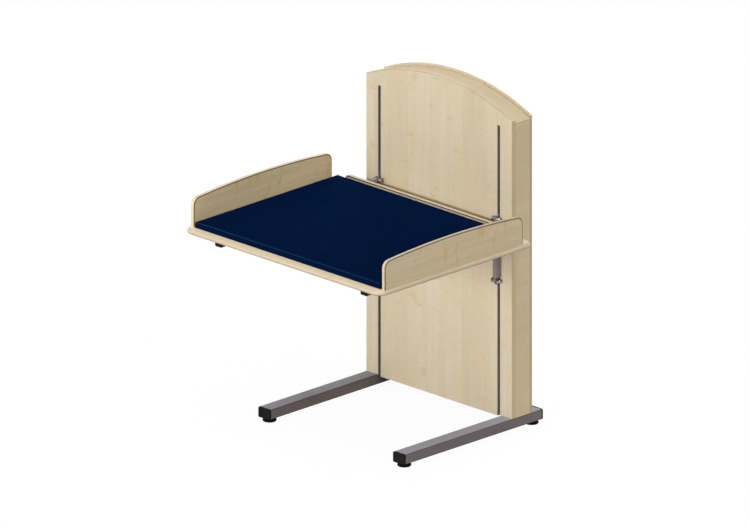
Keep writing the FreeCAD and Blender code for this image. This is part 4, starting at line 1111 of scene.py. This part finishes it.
# Flange of the slot trim: a flat rim round each slot that closes the cut edge of the laminate
flange = {
    "x": 0.310,
    "inner": 0.0059,
    "outer": 0.0070,
    "low": 0.056,
    "top": 1.1830,
    "face": 0.3300,
    "rise": 0.0004,
    "sink": 0.0002,
    "bevel": 0.0002,
}


def makeFlange(name, x):
    half = flange["outer"]
    width = half - flange["inner"]
    piece = fresh(name, bpy.ops.mesh.primitive_plane_add, size=1, rotation=(math.pi / 2, 0, 0))
    piece.location = (x, flange["face"] + flange["sink"], (flange["low"] + flange["top"]) / 2)
    piece.scale = (half * 2, flange["top"] - flange["low"] + width, 1)
    placed(piece)
    bpy.ops.object.mode_set(mode="EDIT")
    bpy.ops.mesh.select_all(action="SELECT")
    bpy.ops.mesh.inset(thickness=width)
    bpy.ops.mesh.delete(type="FACE")
    bpy.ops.mesh.select_all(action="SELECT")
    forward = (0, -flange["rise"] - flange["sink"], 0)
    bpy.ops.mesh.extrude_region_move(TRANSFORM_OT_translate={"value": forward})
    bpy.ops.mesh.select_all(action="SELECT")
    bpy.ops.mesh.normals_make_consistent(inside=False)
    front = flange["face"]
    choose(piece, "edges", lambda middle, edge: middle.y < front and abs(middle.x - x) > half - tiny)
    bpy.ops.mesh.bevel(offset=flange["bevel"], segments=2)
    bpy.ops.object.mode_set(mode="OBJECT")
    return piece


padPiece = makePad()
weltPiece = makeWelt(padPiece)
delivered(padPiece, navyVinyl, "lift", ["changing_pad"], angle=60)
delivered(weltPiece, weltHighlightVinyl, "lift", angle=60)
print("pad and welt ready")

delivered(footCapCopies(), blackPlastic, "base", ["foot_end_caps"])
boltPiece = hangerCopies(makeBolt(), hangerPlaces["x"] - hangerPlaces["headFrom"], "hangerBolts")
nutPiece = hangerCopies(makeCapNut(), hangerPlaces["x"] + hangerPlaces["nutFrom"], "hangerCapNuts")
delivered(boltPiece, brightSteel, "lift", ["hanger_bolts"])
delivered(nutPiece, brightSteel, "lift", ["hanger_cap_nuts"])

screwNodes = (
    ("backPanelScrews", "base", "back_panel_screws"),
    ("tableScrews", "lift", "table_screws"),
    ("boardScrews", "lift", "board_screws"),
)
for name, body, node in screwNodes:
    delivered(screwCopies(name), zincSteel, body, [node])

for name, x, tip in arrow["places"]:
    delivered(makeArrow(f"{name}Arrow", x, tip), arrowPlastic, name)

for side, name in ((-1, "leftSlotFlange"), (1, "rightSlotFlange")):
    delivered(makeFlange(name, side * flange["x"]), slotTrim, "base")

delivered(makeWelds(), greyPaint, "lift")
print("fasteners, arrows, flanges and welds ready")

# Camera: parallel view from the front right, a little from above
view = {
    "target": (0.0, -0.0031, 0.6501),
    "back": (2 / 3, -2 / 3, 1 / 3),
    "distance": 6.0,
    "width": 2.7563,
    "reach": 40,
}


def makeCamera():
    target = Vector(view["target"])
    back = Vector(view["back"]).normalized()
    camera = fresh("Camera", bpy.ops.object.camera_add, location=target + back * view["distance"])
    camera.rotation_mode = "QUATERNION"
    camera.rotation_quaternion = (-back).to_track_quat("-Z", "Y")
    camera.data.type = "ORTHO"
    camera.data.ortho_scale = view["width"]
    camera.data.clip_end = view["reach"]
    bpy.context.scene.camera = camera


# Studio: a pale floor that keeps the shadow, an even sky and four soft lamps, the key low from the front
studio = {
    "sky": 0.14,
    "lamps": {
        "keyLight": {"energy": 2.40, "from": (-0.14, -1.0, 0.12), "spread": 24, "shine": False},
        "fillLight": {"energy": 1.01, "from": (1.0, -0.10, 0.60), "spread": 40, "shine": True},
        "topLight": {"energy": 1.60, "from": (0.15, -0.20, 1.0), "spread": 40, "shine": True},
        "backLight": {"energy": 1.3, "from": (-0.60, 1.0, 0.25), "spread": 40, "shine": False},
    },
    "floorSize": 14,
    "floorGrain": 60,
    "floorTones": ((0.68, 0.68, 0.68), (0.72, 0.72, 0.72)),
    "floorShow": 0.93,
    "white": 1.03,
}


def backdropRay(finish):
    # 1 for what the camera sees, straight or in a reflection
    names = ("Is Camera Ray", "Is Glossy Ray", "Is Transmission Ray")
    straight, mirrored, through = (finish.node("ShaderNodeLightPath", output=name) for name in names)
    return (straight + mirrored + through).between(0.0, 1.0)


def makeSky():
    world = bpy.data.worlds.new("studioSky")
    bpy.context.scene.world = world
    world.use_nodes = True
    sky = Finish(world.node_tree)
    background = world.node_tree.nodes["Background"]
    sky.feed(background.inputs["Color"], (1, 1, 1, 1))
    sky.feed(background.inputs["Strength"], backdropRay(sky) * (1 - studio["sky"]) + studio["sky"])


def makeFloor():
    floor = fresh("studioFloor", bpy.ops.mesh.primitive_plane_add, size=studio["floorSize"])
    paper = Coat("floorPaper", Roughness=0.9, Specular_IOR_Level=0.0)
    tooth = paper.noise(studio["floorGrain"])
    paper.give("Base Color", paper.mix(tooth, *studio["floorTones"]))
    glow = paper.node("ShaderNodeEmission", None, {"Color": (1, 1, 1, 1), "Strength": studio["white"]})
    inputs = {0: backdropRay(paper) * studio["floorShow"], 1: Wire(paper, paper.shader.outputs[0]), 2: glow}
    shown = paper.node("ShaderNodeMixShader", None, inputs)
    paper.feed(paper.tree.nodes["Material Output"].inputs["Surface"], shown)
    floor.data.materials.append(paper.material)


def makeLamps():
    for name, lamp in studio["lamps"].items():
        light = fresh(name, bpy.ops.object.light_add, type="SUN")
        light.data.energy = lamp["energy"]
        light.data.angle = math.radians(lamp["spread"])
        light.visible_glossy = lamp["shine"]  # the low lamps leave no glare
        light.rotation_mode = "QUATERNION"
        light.rotation_quaternion = Vector(lamp["from"]).to_track_quat("Z", "Y")


makeCamera()
makeSky()
makeFloor()
makeLamps()
bpy.context.scene.view_settings.view_transform = "Standard"
print("camera and studio ready")
